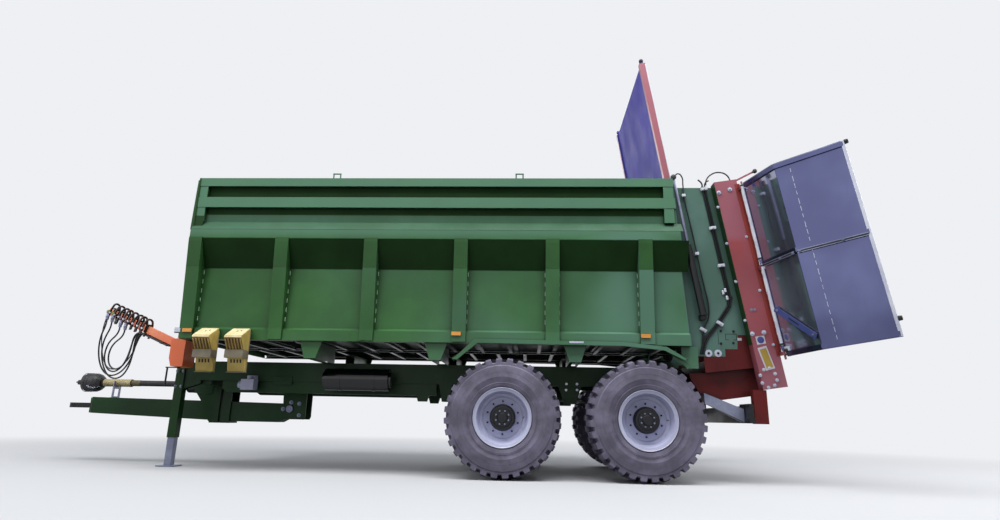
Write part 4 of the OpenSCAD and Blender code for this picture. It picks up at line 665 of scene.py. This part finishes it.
def wheel_pieces(end, x, side):
    """Nuts, hub cover, valve, rings and centre lugs of one wheel."""
    body = f"wheel_{end}_{side.word}"

    def at(distance, radius=0.0, turn=0.0):
        """A place that far out, on a circle round the axle."""
        return Vector((x + radius * math.cos(turn), side.sign * (WHEEL_Y + distance),
                       WHEEL_Z + radius * math.sin(turn)))

    nuts = [at(0.0985, STUD_R, math.tau * (i + 0.5) / STUDS) for i in range(STUDS)]
    bolts(body + "_nuts", nuts, side.out, 0.019, 0.018, body, BLACK, 0.0)
    cover = spun(HUB_FORM, at(0.0), side.out, 40)
    joined(body + "_hub_cover", [cover], BLACK, body)
    caps = [at(0.2105, HUB_BOLT_R, math.tau * (i + 0.5) / HUB_BOLTS) for i in range(HUB_BOLTS)]
    bolts(body + "_hub_bolts", caps, side.out, 0.017, 0.010, body, washer=0.0)
    stem_from = (x + 0.215, side.sign * (WHEEL_Y + 0.112), WHEEL_Z)
    stem_to = (x + 0.225, side.sign * (WHEEL_Y + 0.175), WHEEL_Z + 0.012)
    stem = bar(stem_from, stem_to, 0.011, 12, 0.001)
    joined(body + "_valve", [stem], ZINC, body)
    for name, distance, radius, thick, around, across, finish, slot in WHEEL_RINGS:
        made = smooth(ring(at(distance), side.out, radius, thick, around, across), 60)
        joined(f"{body}_{name}", [made], finish, body)
    model = block((-LUG_HALF.x, -LUG_HALF.y, 0.0), (LUG_HALF.x, LUG_HALF.y, 2 * LUG_HALF.z), 0.003)
    lugs = []
    for i in range(LUGS):
        for half, shift in ((-1, 0.0), (1, 0.5)):
            turn = math.tau * (i + shift) / LUGS
            centre = at(0.0, LUG_R, turn) + Vector((0, half * LUG_HALF.y, 0))
            radial = Matrix.Rotation(math.pi / 2 - turn, 4, "Y")
            lugs.append(Matrix.Translation(centre) @ radial @ Matrix.Rotation(half * LUG_SKEW, 4, "Z"))
    laid_out(body + "_centre_lugs", model, lugs, body, TYRE)


for end, x in AXLES:
    for side in SIDES:
        wheel_pieces(end, x, side)

# Red frames: bolts by size, with their x and z, on both outer faces, then the hoops and hooks on top
FRAME_BOLTS = {
    0.030: ((3.359, 3.105), (3.484, 3.144), (3.594, 1.520), (3.715, 1.537)),
    0.022: ((3.679, 1.148), (3.738, 1.164), (3.638, 1.089), (3.790, 1.108), (3.804, 1.043), (3.776, 0.990),
            (3.712, 0.967), (3.652, 1.011)),
    0.019: ((3.338, 2.932), (3.403, 2.510), (3.467, 2.081), (3.530, 1.661), (3.622, 2.590), (3.712, 1.989),
            (3.800, 1.407)),
}
ON_FRAME = FRAME_Y + 0.0003
HOOP = ((3.250, 1.050, 3.235), (3.262, 1.050, 3.300), (3.330, 1.050, 3.372), (3.419, 1.050, 3.392),
        (3.490, 1.055, 3.360), (3.520, 1.070, 3.290), (3.520, 1.090, 3.225))
HOOKS = ((((3.215, 1.041, 3.205), (3.205, 1.045, 3.262), (3.165, 1.052, 3.300)), 0.018),
         (((3.240, 1.041, 3.205), (3.246, 1.046, 3.262), (3.285, 1.056, 3.290)), 0.014))
ARM_Y = 1.142
FLANGE_OUT = (-math.cos(LEAN), 0, -math.sin(LEAN))
FLANGE_BOLTS = (-0.30, -0.73, -1.16, -1.60)
for side in SIDES:
    for size, pairs in FRAME_BOLTS.items():
        bolts(f"frame_bolts_{side.word}_{round(size * 1000)}", side.places(ON_FRAME, pairs), side.out,
              size * 0.86, size * 0.55, finish=BRIGHT, washer=0.004)
    edges = [block((-0.034, 1.1500, -1.98), (0.0230, 1.1515, -0.04), 0.0),
             block((0.0, 1.110, -1.98), (0.0014, 1.1515, -0.04), 0.0)]
    side.piece("frame_edge", edges, RED_EDGE, leaned(FRAME_BACK, 0))
    flange = block((-0.0030, 1.034, -1.86), (-0.0004, 1.149, -0.03), 0.0)
    side.piece("frame_flange", [flange], FLANGE_GREEN, leaned(FRAME_X, 0))
    places = [side.hand @ leaned(FRAME_X, 0) @ Vector((-0.003, 1.100, z)) for z in FLANGE_BOLTS]
    bolts(f"flange_bolts_{side.word}", places, FLANGE_OUT, 0.017, 0.011, washer=0.002)
    square = block((-0.047, 1.1496, -0.043), (0.047, 1.1512, 0.043), 0.0005)
    tall = strip_between((3.680, 1.384), (3.751, 1.150), 0.098, 1.1496, 1.1512, 0.0005)
    side.piece("blank_plate", [moved(square, leaned(3.675, 0, 1.455)), tall], PLATE)
    disc = spun([(0.0, 0.0022), (0.034, 0.0022), (0.036, 0.0012)], (3.675, 1.1500, 1.457), (0, 1, 0), 32)
    side.piece("blank_disc", [disc], BLANK_BLUE)
    inner = strip_between((3.688, 1.364), (3.745, 1.170), 0.070, 1.1512, 1.1522, 0.0005)
    side.piece("blank_strip", [inner], YELLOW_PLATE)
    pins = side.places(ON_FRAME, ((3.606, 1.774), (3.642, 1.780)))
    bolts(f"frame_pins_{side.word}", pins, side.out, 0.016, 0.008, washer=0.002)
    joined(f"hose_hoop_{side.word}", [side.pipe(HOOP, 0.016)], HOSE)
    side.piece("frame_arm", [strip_between((3.500, 3.222), (3.765, 3.362), 0.020, 1.138, 1.146, 0.002)], RED)
    neck_from, neck_to, knob_at = side.places(ARM_Y, ((3.752, 3.355), (3.775, 3.367), (3.781, 3.370)))
    knob = [ball(knob_at, 0.026, 24), bar(neck_from, neck_to, 0.026, 16, 0.002)]
    joined(f"frame_ball_{side.word}", knob, PLASTIC)
    hooks = [side.pipe(points, diameter) for points, diameter in HOOKS]
    joined(f"pipe_ends_{side.word}", hooks, PLASTIC)

# Housing plates, pipes and lift cylinders
HOUSING_Y = 1.030
CLAMPS = (  # x, z, turn
    (3.232, 3.190, 0.0), (3.297, 2.723, 0.0), (3.362, 2.288, 0.0), (3.300, 1.640, 0.7), (3.118, 1.570, 0.7))
UNIONS = ((3.385, 2.010), (3.398, 1.925), (3.360, 1.985))
SEAMS = (((3.350, 1.528), (3.470, 1.533)), ((3.350, 1.466), (3.384, 1.471)), ((3.436, 1.466), (3.470, 1.471)),
         ((3.350, 1.468), (3.355, 1.531)), ((3.465, 1.468), (3.470, 1.531)), ((3.272, 1.420), (3.276, 1.570)))
OIL_HOSE = (
    (2.900, 1.060, 3.345), (2.945, 1.060, 3.372), (2.984, 1.060, 3.330), (2.990, 1.060, 3.240),
    (2.992, 1.060, 3.104), (3.045, 1.060, 2.760), (3.098, 1.060, 2.418), (3.128, 1.060, 2.200),
    (3.160, 1.060, 2.000), (3.184, 1.060, 1.850), (3.176, 1.060, 1.700), (3.120, 1.052, 1.570),
    (3.100, 1.050, 1.400))
WASHER_FORM = ((0.014, 0.004), (0.037, 0.004), (0.039, 0.002), (0.039, 0.0))
ROD_CAP_FORM = ((0.0, 0.0175), (0.022, 0.0165), (0.031, 0.010), (0.033, 0.0),
                (0.031, -0.010), (0.022, -0.0165), (0.0, -0.0175))
rods_low, rods_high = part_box("gate_rods")
for side in SIDES:
    clamps = []
    for x, z, turn in CLAMPS:
        clamp_at = side.hand @ leaned(x, 0, z) @ Matrix.Rotation(turn, 4, "Y")
        clamps.append(moved(block((-0.040, 1.028, -0.017), (0.034, 1.064, 0.017), 0.003), clamp_at))
        clamps.append(moved(bar((-0.003, 1.062, 0), (-0.003, 1.072, 0), 0.020, 12, 0.002), clamp_at))
    joined(f"pipe_clamps_{side.word}", clamps, WHITE)
    unions = [moved(rounded(bar((0, 1.040, -0.022), (0, 1.040, 0.022), 0.032, 6), 0.002), leaned(x, 0, z))
              for x, z in UNIONS]
    side.piece("pipe_unions", unions, BRIGHT)
    pairs = ((3.161, 1.322), (3.261, 1.323))
    washers = [spun(WASHER_FORM, place, side.out, 28) for place in side.places(HOUSING_Y + 0.0002, pairs)]
    joined(f"housing_washers_{side.word}", washers, BRIGHT)
    heads = [bar(start, end, 0.026, 6, 0.002)
             for start, end in zip(side.places(HOUSING_Y, pairs), side.places(HOUSING_Y + 0.014, pairs))]
    joined(f"housing_bolt_heads_{side.word}", heads, BLACK)
    seams = [block((x0, HOUSING_Y - 0.0004, z0), (x1, HOUSING_Y + 0.0010, z1), 0.0)
             for (x0, z0), (x1, z1) in SEAMS]
    side.piece("housing_seams", seams, SHADOW)
    small = side.places(HOUSING_Y + 0.0003, ((3.306, 1.563), (3.440, 1.560), (3.299, 1.427), (3.430, 1.435)))
    bolts(f"housing_bolts_{side.word}", small, side.out, 0.015, 0.008, finish=BLACK, washer=0.002)
    side.piece("blank_tag", [block((3.476, 1.0296, 1.462), (3.520, 1.0316, 1.490), 0.001)], PLATE)
    clips = [moved(block((-0.022, 1.030, -0.016), (0.022, 1.078, 0.016), 0.003), leaned(x, 0, z))
             for x, z in ((2.990, 3.104), (3.096, 2.418))]
    side.piece("cylinder_clips", clips, WHITE)
    joined(f"cylinder_hose_{side.word}", [side.pipe(OIL_HOSE, 0.015)], HOSE)
    # A cap over the lift rod's eye
    eye = (rods_low.x + 0.028, side.sign * (rods_high.y - 0.011), rods_high.z - 0.028)
    joined(f"rod_cap_{side.word}", [spun(ROD_CAP_FORM, eye, (0, 1, 0), 28)], PLASTIC, "rods")

# Doors: each has an inner leaf at the hinge and an outer leaf bent from it, whose visible faces look along y
HINGE_SLEEVES = ((0.066, 0.944), (0.996, 1.874))
HINGE_BANDS = (-0.078, -0.930, -1.010, -1.862)
DOOR_FACE, RIB_Z = 0.0205, -1.016
RIB_SPANS, FLANGE_SPANS = ((0.050, 0.505), (0.010, 0.640)), ((0.040, 0.508), (0.006, 0.652))
DASHES, DASH_PITCH, DASH_LENGTHS = 22, 0.082, (0.040, 0.062, 0.052)
STAY_FROM, STAY_TO = (0.045, -1.490), (0.500, -1.866)


def along_stay(share):
    return tuple(a + share * (b - a) for a, b in zip(STAY_FROM, STAY_TO))


def leaf_strips(spans, near, far, low, high, edge=0.0):
    """A strip along x on each leaf, between two distances from the leaf and two heights."""
    return [[block((x0, near, low), (x1, far, high), edge)] for x0, x1 in spans]


def door_pieces(side):
    body = f"door_{side.word}"
    inner = side.hand @ leaned(HINGE_X, HINGE_Y) @ Matrix.Rotation(DOOR_OPEN, 4, "Z")
    outer = inner @ Matrix.Translation((DOOR_W, 0, 0)) @ Matrix.Rotation(-DOOR_BEND, 4, "Z")

    def put(name, finish, on_inner=(), on_outer=()):
        placed = [moved(part, inner) for part in on_inner] + [moved(part, outer) for part in on_outer]
        joined(f"{body}_{name}", placed, finish, body)

    tubes = [((0.0202, -b), (0.0212, -b), (0.0212, -a), (0.0202, -a)) for a, b in HINGE_SLEEVES]
    put("hinge_tubes", WHITE, [spun(form, (0, 0, 0), (0, 0, 1), 28) for form in tubes])
    band = ((0.0214, -0.010), (0.0245, -0.008), (0.0245, 0.008), (0.0214, 0.010))
    put("hinge_bands", PLASTIC, [spun(band, (0, 0, z), (0, 0, 1), 28) for z in HINGE_BANDS])
    dashes = []
    for i in range(DASHES):
        high = -0.16 - DASH_PITCH * i
        low = high - DASH_LENGTHS[i % len(DASH_LENGTHS)]
        dashes.append(block((0.138, -0.0002, low), (0.1425, 0.0012, high), 0.0))
    put("seam_line", BRIGHT, on_outer=dashes)
    upper, lower = [leaf_strips(RIB_SPANS, DOOR_FACE, 0.0225, z - 0.004, z + 0.004) for z in (-1.004, -1.027)]
    put("rib_edges", ZINC, upper[0] + lower[0], upper[1] + lower[1])
    put("rib_line", SHADOW, *leaf_strips(RIB_SPANS, DOOR_FACE, 0.0218, -1.0215, -1.0095))
    put("top_flange", ZINC, *leaf_strips(FLANGE_SPANS, 0.0, 0.016, -0.099, -0.057, 0.002))
    put("inner_sheet", MIRROR, [block((0.040, 0.0002, -1.985), (0.514, 0.0012, -0.100), 0.0)])
    put("outer_flange", BRIGHT, on_outer=[block((0.634, -0.001, -1.990), (0.664, 0.020, -0.057), 0.002)])
    stop = ((0.0, 0.034), (0.018, 0.034), (0.022, 0.028), (0.024, 0.0))
    put("buffers", BUFFER, on_outer=[spun(stop, (0.664, 0.008, z), (1, 0, 0), 24) for z in (-0.080, -1.830)])
    put("stay", STAY_BLUE, [strip_between(STAY_FROM, STAY_TO, 0.064, 0.0176, 0.0250, 0.002)])
    # Painted shade: a near-black skin where the stay's slot opens
    put("stay_slot", SHADOW, [strip_between(along_stay(0.36), along_stay(0.60), 0.014, 0.0250, 0.0256, 0.0)])
    ends = [inner @ Vector(place) for place in (
        (0.075, 0.0250, -1.515), (0.470, 0.0250, -1.841), (0.485, 0.0225, RIB_Z), (0.300, 0.0225, RIB_Z))]
    ends += [outer @ Vector((x, 0.0225, RIB_Z)) for x in (0.030, 0.420)]
    face_out = (inner.to_3x3() @ Vector((0, 1, 0))).normalized()
    bolts(body + "_bolts", ends, face_out, 0.018, 0.010, body, washer=0.002)
    put("latch", WHITE, [block((0.036, 0.0, -1.965), (0.100, 0.020, -1.895), 0.004)])
    knob = ((0.0, 0.030), (0.012, 0.028), (0.017, 0.020), (0.017, 0.0))
    put("latch_knob", PLASTIC, [spun(knob, (0.068, 0.020, -1.930), (0, 1, 0), 20)])


for side in SIDES:
    door_pieces(side)

# Gate: red channels over its edges, a pale line and a ball on each post
SKIN, TOUCH = 0.0014, 0.0003
CHANNEL_IN, CHANNEL_OUT = GATE_HALF - GATE_EDGE, GATE_HALF + SKIN
CHANNEL = ((-SKIN, CHANNEL_IN), (-SKIN, CHANNEL_OUT), (GATE_T + SKIN, CHANNEL_OUT),
           (GATE_T + SKIN, CHANNEL_IN), (GATE_T + TOUCH, CHANNEL_IN), (GATE_T + TOUCH, GATE_HALF + TOUCH),
           (-TOUCH, GATE_HALF + TOUCH), (-TOUCH, CHANNEL_IN))
POST_AT = Vector((GATE_T / 2, GATE_HALF - GATE_EDGE / 2, GATE_HIGH))
for side in SIDES:
    at = leaned(GATE_X, 0)
    channel = prism(CHANNEL, "XY", GATE_LOW + 0.380, GATE_HIGH - 0.002)
    side.piece("gate_channel", [channel], RED, at, "gate")
    low, high = (GATE_T - 0.004, CHANNEL_OUT - 0.0002, 0.06), (GATE_T + SKIN, CHANNEL_OUT + 0.0010, 1.60)
    side.piece("gate_edge", [block(low, high, 0.0)], BRIGHT, at, "gate")
    knob = [ball(POST_AT + Vector((0, 0, 0.044)), 0.0268, 28),
            bar(POST_AT + Vector((0, 0, 0.0005)), POST_AT + Vector((0, 0, 0.032)), 0.0255, 20, 0.001)]
    side.piece("gate_ball", knob, PLASTIC, at, "gate")

# Tub sides: bands of painted shade and painted sheen, the front corner in painted shade, weld stitches with a
# painted highlight and guard lips
UNDERCUT = ((KINK_Y + 0.0028, KINK_Z + 0.0066), (1.2472, 2.5134), (1.2486, 2.5128),
            (KINK_Y + 0.0042, KINK_Z + 0.0060))
CHAMFER = ((1.2504, 2.6185), (1.1656, 2.7282), (1.1668, 2.7292), (1.2516, 2.6195))
RIB_SKIN = ((1.2311, KINK_Z), (1.2562, 2.480), (1.2562, 2.522), (1.2574, 2.522), (1.2574, 2.480),
            (1.2323, KINK_Z))
RIB_HALF, STITCH_OUT = 0.0746, 0.0775
CORNER = ((FRONT_X - 0.062, 2.640), (FRONT_X - 0.001, 2.622), (FRONT_X - 0.001, 3.246),
          (FRONT_X - 0.050, 3.246))
GUARD_LIP = ((0.435, 1.207), (0.656, 1.427), (2.244, 1.412), (2.692, 1.366), (2.902, 1.239),
             (2.861, 1.233), (2.660, 1.330), (2.240, 1.370), (0.690, 1.382), (0.477, 1.202))
GUARD_TOP = GUARD_LIP[:5] + tuple((x, z - 0.004) for x, z in reversed(GUARD_LIP[:5]))
SPRING_NUTS = ((1.675, 1.003), (1.796, 1.005), (1.670, 0.935), (1.795, 0.938))


def wall_band(low, high):
    """A thin skin on the upper wall, between its posts."""
    return block((FRONT_X + POST_W + 0.001, UPPER_Y + 0.0002, low),
                 (REAR_X - POST_W - 0.001, UPPER_Y + 0.0016, high), 0.0)


for side in SIDES:
    # Painted shade: dark green skins over the recesses and the undercut, where shade falls
    painted_shade_skins = [wall_band(3.0165, 3.1505), wall_band(2.815, 2.8935),
              prism(UNDERCUT, "YZ", FRONT_X + 0.002, 2.970)]
    side.piece("painted_shade_bands", painted_shade_skins, PAINTED_SHADE_GREEN)
    # Painted sheen: a bluish green skin over the lower recess band and the chamfer, standing in for sky
    # reflection
    painted_sheen_skins = [wall_band(2.729, 2.815), prism(CHAMFER, "YZ", FRONT_X + 0.002, 2.915)]
    side.piece("painted_sheen_bands", painted_sheen_skins, PAINTED_SHEEN_GREEN)
    # Painted shade: darker green skins on the ribs' upper parts in the undercut, and on the front corner
    rib_shade_skins = [prism(RIB_SKIN, "YZ", rib - RIB_HALF, rib + RIB_HALF) for rib in (FRONT_RIB, *RIBS)]
    side.piece("rib_painted_shades", rib_shade_skins, RIB_PAINTED_SHADE)
    side.piece("front_corner", [prism(CORNER, "XZ", 1.120, 1.160, 0.002)], RIB_PAINTED_SHADE)
    post = [block((FRONT_X + 0.002, 1.1652, 2.6190), (FRONT_X + 0.108, 1.2145, 2.790), 0.002),
            block((FRONT_X - 0.001, 1.1602, 2.6190), (FRONT_X + 0.016, 1.2210, 3.2470), 0.002)]
    side.piece("front_edge", post, FLANGE_GREEN)
    # Weld stitches: real weld beads in a pale green that paints their highlight
    rows = [side.hand @ Matrix.Translation((rib + shift, 1.1115, 1.62 + 0.105 * i))
            for rib in (FRONT_RIB, *RIBS) for shift in (-STITCH_OUT, STITCH_OUT) for i in range(6)]
    stitch = bar((0, 0, -0.024), (0, 0, 0.024), 0.008, 8)
    laid_out(f"weld_stitches_{side.word}", stitch, rows, "machine", STITCH_HIGHLIGHT)
    lip = [prism(GUARD_LIP, "XZ", 1.1735, 1.1785, 0.001), prism(GUARD_TOP, "XZ", 1.120, 1.1740)]
    side.piece("guard_lip", lip, GREEN)
    side.piece("guard_reflector", [block((1.668, 1.1785, 1.392), (1.820, 1.1815, 1.412), 0.001)], CLEAR_LENS)
    nuts = [rounded(bar((x, 0.5005, z), (x, 0.516, z), 0.034, 6), 0.002) for x, z in SPRING_NUTS]
    side.piece("spring_nuts", nuts, BRIGHT)

# Wheel chocks and their holders: the form in y and z from the chock's lower edge at its back
CHOCK_XS, CHOCK_W = (-2.340, -1.990), 0.190
CHOCK_Y, CHOCK_Z = -1.166, 1.035
CHOCK_FORM = ((0.0, 0.0), (-0.028, 0.0), (-0.066, 0.140), (-0.109, 0.230), (-0.198, 0.347), (-0.192, 0.367),
              (-0.014, 0.465), (0.0, 0.465))
LOWER, FRONT, LIP, TOP = [CHOCK_FORM[i:i + 2] for i in (1, 3, 4, 5)]
BAND_LOW, BAND_HIGH, BAND_T, BAND_OUT = CHOCK_Z + 0.140, CHOCK_Z + 0.225, 0.005, 0.006
HOLDER_BACK, HOLDER_FRONT, HOLDER_FOOT = CHOCK_Y + 0.005, CHOCK_Y - 0.128, CHOCK_Z - 0.008


def on_chock(edge, low, high, lift):
    """A skin over one edge of the form, between fractions low and high of it."""
    (y0, z0), (y1, z1) = edge
    run = math.hypot(y1 - y0, z1 - z0)
    out = Vector(((z1 - z0) / run * lift, -(y1 - y0) / run * lift))
    start = Vector((CHOCK_Y + y0, CHOCK_Z + z0))
    first = start + low * Vector((y1 - y0, z1 - z0))
    last = start + high * Vector((y1 - y0, z1 - z0))
    return [tuple(point) for point in (first, last, last + out, first + out)]


def holder_parts(x):
    """Back plate, foot, two cheeks and front band of one holder."""
    left, right = x - BAND_OUT, x + CHOCK_W + BAND_OUT
    return [block(low, high, 0.0015) for low, high in (
        ((left, HOLDER_BACK - 0.004, HOLDER_FOOT), (right, HOLDER_BACK, 1.470)),
        ((left, CHOCK_Y - 0.045, HOLDER_FOOT), (right, HOLDER_BACK, HOLDER_FOOT + BAND_T)),
        ((left, HOLDER_FRONT, BAND_LOW), (left + BAND_T, HOLDER_BACK, BAND_HIGH)),
        ((right - BAND_T, HOLDER_FRONT, BAND_LOW), (right, HOLDER_BACK, BAND_HIGH)),
        ((left, HOLDER_FRONT - 0.004, BAND_LOW), (right, HOLDER_FRONT + 0.001, BAND_HIGH)))]


chock = {"bodies": [], "tops": [], "fronts": [], "ridges": [], "slots": [], "brackets": []}
for x in CHOCK_XS:
    end = x + CHOCK_W
    form = [(CHOCK_Y + y, CHOCK_Z + z) for y, z in CHOCK_FORM]
    chock["bodies"].append(prism(form, "YZ", x, end, 0.004))
    # Painted light: pale skins over the lit top and lip
    chock["tops"].append(prism(on_chock(TOP, 0.02, 0.98, -0.003), "YZ", x + 0.003, end - 0.003))
    chock["tops"].append(prism(on_chock(LIP, 0.1, 0.9, -0.003), "YZ", x + 0.003, end - 0.003))
    # Painted shade: a brown skin over the shaded overhanging front
    chock["fronts"].append(prism(on_chock(FRONT, 0.03, 0.95, -0.002), "YZ", x + 0.004, end - 0.004))
    for left in (x + 0.010 + 0.0325 * i for i in range(6)):
        chock["ridges"].append(prism(on_chock(FRONT, 0.04, 0.90, -0.012), "YZ", left, left + 0.009, 0.002))
    # Painted shade: near-black skins in the slots
    for left in (x + 0.036 + 0.034 * i for i in range(4)):
        chock["slots"].append(prism(on_chock(LOWER, 0.66, 0.92, -0.0012), "YZ", left, left + 0.016))
    for left, low, high in ((x + 0.082, 0.52, 0.66), (x + 0.120, 0.60, 0.74)):
        chock["slots"].append(prism(on_chock(TOP, low, high, -0.0042), "YZ", left, left + 0.009))
    chock["brackets"] += holder_parts(x)
chock_body = joined("chock_bodies", chock["bodies"], YELLOW)
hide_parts("wheel_chocks")
joined("chock_tops", chock["tops"], CHOCK_LIT_TOP)
joined("chock_fronts", chock["fronts"], CHOCK_SHADED_FRONT)
joined("chock_ridges", chock["ridges"], YELLOW)
joined("chock_slots", chock["slots"], SHADOW)
holder = joined("chock_brackets", chock["brackets"], CHOCK_BAND)
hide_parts("chock_holders")

# Hose rack: sheathed hose ends curled over the arm, each by its offsets across, above and along the arm
SHEATHS, SHEATH_FROM, SHEATH_PITCH = 8, 0.461, 0.084
BLACK_SHEATHS = (2, 5, 7)
along = (ARM_TO - ARM_FROM).normalized()
across = along.cross(Vector((0, 0, 1))).normalized()
upward = across.cross(along)
sheaths = {"brown": [], "black": [], "collar": []}
for i in range(SHEATHS):
    centre = ARM_FROM + along * (SHEATH_FROM + SHEATH_PITCH * i)
    sway = 0.012 * math.sin(2.1 * i)
    curl = [centre + across * a + upward * n + along * l for a, n, l in (
        (0.046, -0.105, -0.020), (0.048, -0.020, -0.006), (0.042, 0.062, 0.004 + sway),
        (0.018, 0.108, 0.016 + sway), (-0.020, 0.112, 0.026 + sway), (-0.046, 0.070, 0.030),
        (-0.052, 0.000, 0.030), (-0.050, -0.070, 0.026))]
    sheaths["black" if i in BLACK_SHEATHS else "brown"].append(tube(curl, 0.024, 4))
    for t in (1, 6):
        way = (curl[t + 1] - curl[t - 1]).normalized() * 0.010
        sheaths["collar"].append(bar(curl[t] - way, curl[t] + way, 0.031, 16, 0.002))
joined("sheaths_brown", sheaths["brown"], BROWN)
joined("sheaths_black", sheaths["black"], HOSE)
joined("sheath_collars", sheaths["collar"], BRIGHT)

# Shaft guard
GUARD_FORM = ((0.0462, 0.0), (0.0482, 0.002), (0.0482, 0.020), (0.0470, 0.024), (0.0470, 0.330),
              (0.0486, 0.334), (0.0486, 0.358), (0.0462, 0.361))
INNER_FORM = ((0.0362, 0.0), (0.0378, 0.002), (0.0378, 0.112), (0.0362, 0.114))
BELL_RIBS = ((-4.395, 0.114), (-4.360, 0.114), (-4.325, 0.114), (-4.290, 0.112))
joined("guard_cream", [spun(GUARD_FORM, (-4.157, 0, SHAFT_Z), (1, 0, 0), 36)], CREAM)
joined("guard_olive", [spun(INNER_FORM, (-3.794, 0, SHAFT_Z), (1, 0, 0), 32)], OLIVE)
ribs = [smooth(ring((x, 0, SHAFT_Z), (1, 0, 0), radius, 0.0035, 40, 8), 60) for x, radius in BELL_RIBS]
joined("bell_ribs", ribs, PLASTIC)
chain = []
for i in range(9):
    hang = Vector((-4.300 + 0.014 * i, -0.118 + 0.001 * i * i, 0.905 - 0.010 * i + 0.0012 * i * i))
    turns = Matrix.Rotation(0.6, 4, "Y") @ Matrix.Rotation(i * math.pi / 2, 4, "X")
    link = ring((0, 0, 0), (0, 0, 1), 0.009, 0.0022, 14, 6)
    chain.append(moved(link, Matrix.Translation(hang) @ turns))
joined("guard_chain", chain, BRIGHT)

# Drawbar, chassis and lamps
END_LINES = (
    ((-4.219, -0.0915, 0.577), (-4.213, 0.0915, 0.582)), ((-4.219, -0.0915, 0.765), (-4.213, 0.0915, 0.7712)),
    ((-4.219, -0.0915, 0.577), (-4.213, -0.0865, 0.770)), ((-4.219, 0.0865, 0.577), (-4.213, 0.0915, 0.770)))
PIVOT_BOLTS = ((-1.675, 0.748), (-1.572, 0.733), (-1.564, 0.596), (-1.770, 0.668))
BOSS_FORM = ((0.0, 0.016), (0.020, 0.016), (0.024, 0.012), (0.040, 0.010), (0.044, 0.006), (0.044, 0.0))
LOWER_BAR = ((3.0935, 0.8035), (3.0935, 0.9065), (3.4935, 0.7485), (3.4935, 0.6135))
FITTINGS = (  # name, low corner, high corner, edge, finish
    ("rail_plate", (-1.758, 0.4995, 0.940), (-1.535, 0.5125, 1.036), 0.002, DARK_GREEN),
    ("tail_lamp", (3.5425, 0.905, 0.672), (3.556, 1.035, 0.790), 0.003, RED_LENS),
    ("turn_lamp", (3.5425, 1.040, 0.672), (3.556, 1.125, 0.790), 0.003, AMBER),
    ("lamp_back", (3.5415, 0.898, 0.665), (3.5440, 1.132, 0.797), 0.001, PLASTIC),
    ("front_lamp", (-2.652, 1.158, 1.455), (-2.586, 1.178, 1.499), 0.003, CLEAR_LENS),
    ("front_lamp_base", (-2.660, 1.150, 1.447), (-2.450, 1.160, 1.505), 0.002, PLASTIC),
)
joined("drawbar_end_line", [block(low, high, 0.001) for low, high in END_LINES], GREEN)
for side in SIDES:
    bolts(f"pivot_bolts_{side.word}", side.places(0.1075, PIVOT_BOLTS), side.out, 0.026, 0.015, washer=0.004)
    boss = spun(BOSS_FORM, (-1.685, side.sign * 0.1195, 0.669), side.out, 32)
    joined(f"pivot_boss_{side.word}", [boss], ZINC)
    side.piece("lower_bar", [prism(LOWER_BAR, "XZ", 0.9485, 1.0015)], ZINC)
    for name, low, high, edge, finish in FITTINGS:
        side.piece(name, [block(low, high, edge)], finish)
jack_places = [(x, -0.5085, z) for z in (1.080, 0.900) for x in (-2.935, -2.865)]
bolts("jack_bolts", jack_places, (0, -1, 0), 0.019, 0.012)
joined("number_blank", [block((3.5320, -0.260, 0.680), (3.5345, 0.260, 0.768), 0.001)], PLATE)

# Floor, which fades into the backdrop away from the machine
nothing_selected()
bpy.ops.mesh.primitive_plane_add(size=160, location=(0, 0, -0.001))
floor = bpy.context.object
floor.name = "studio_floor"
pale = Finish("studio_floor")
shown_part = pale.shown_rays()
pale.give({"Base Color": pale.mix(shown_part, FLOOR_LIT, FLOOR_SHOWN), "Roughness": 0.95,
           "Specular IOR Level": 0.1})
reach = pale.add("VectorMath", {0: pale.coords}, operation="LENGTH")["Value"]
faded = pale.calculate("MULTIPLY", pale.spread(reach, *FLOOR_FADE), shown_part)
glow = pale.add("Emission", {"Color": BACKDROP})[0]
surface = pale.blended(faded, pale.shader.outputs[0], glow)
pale.feed(pale.nodes["Material Output"], {"Surface": surface})
floor.data.materials.append(pale.material)
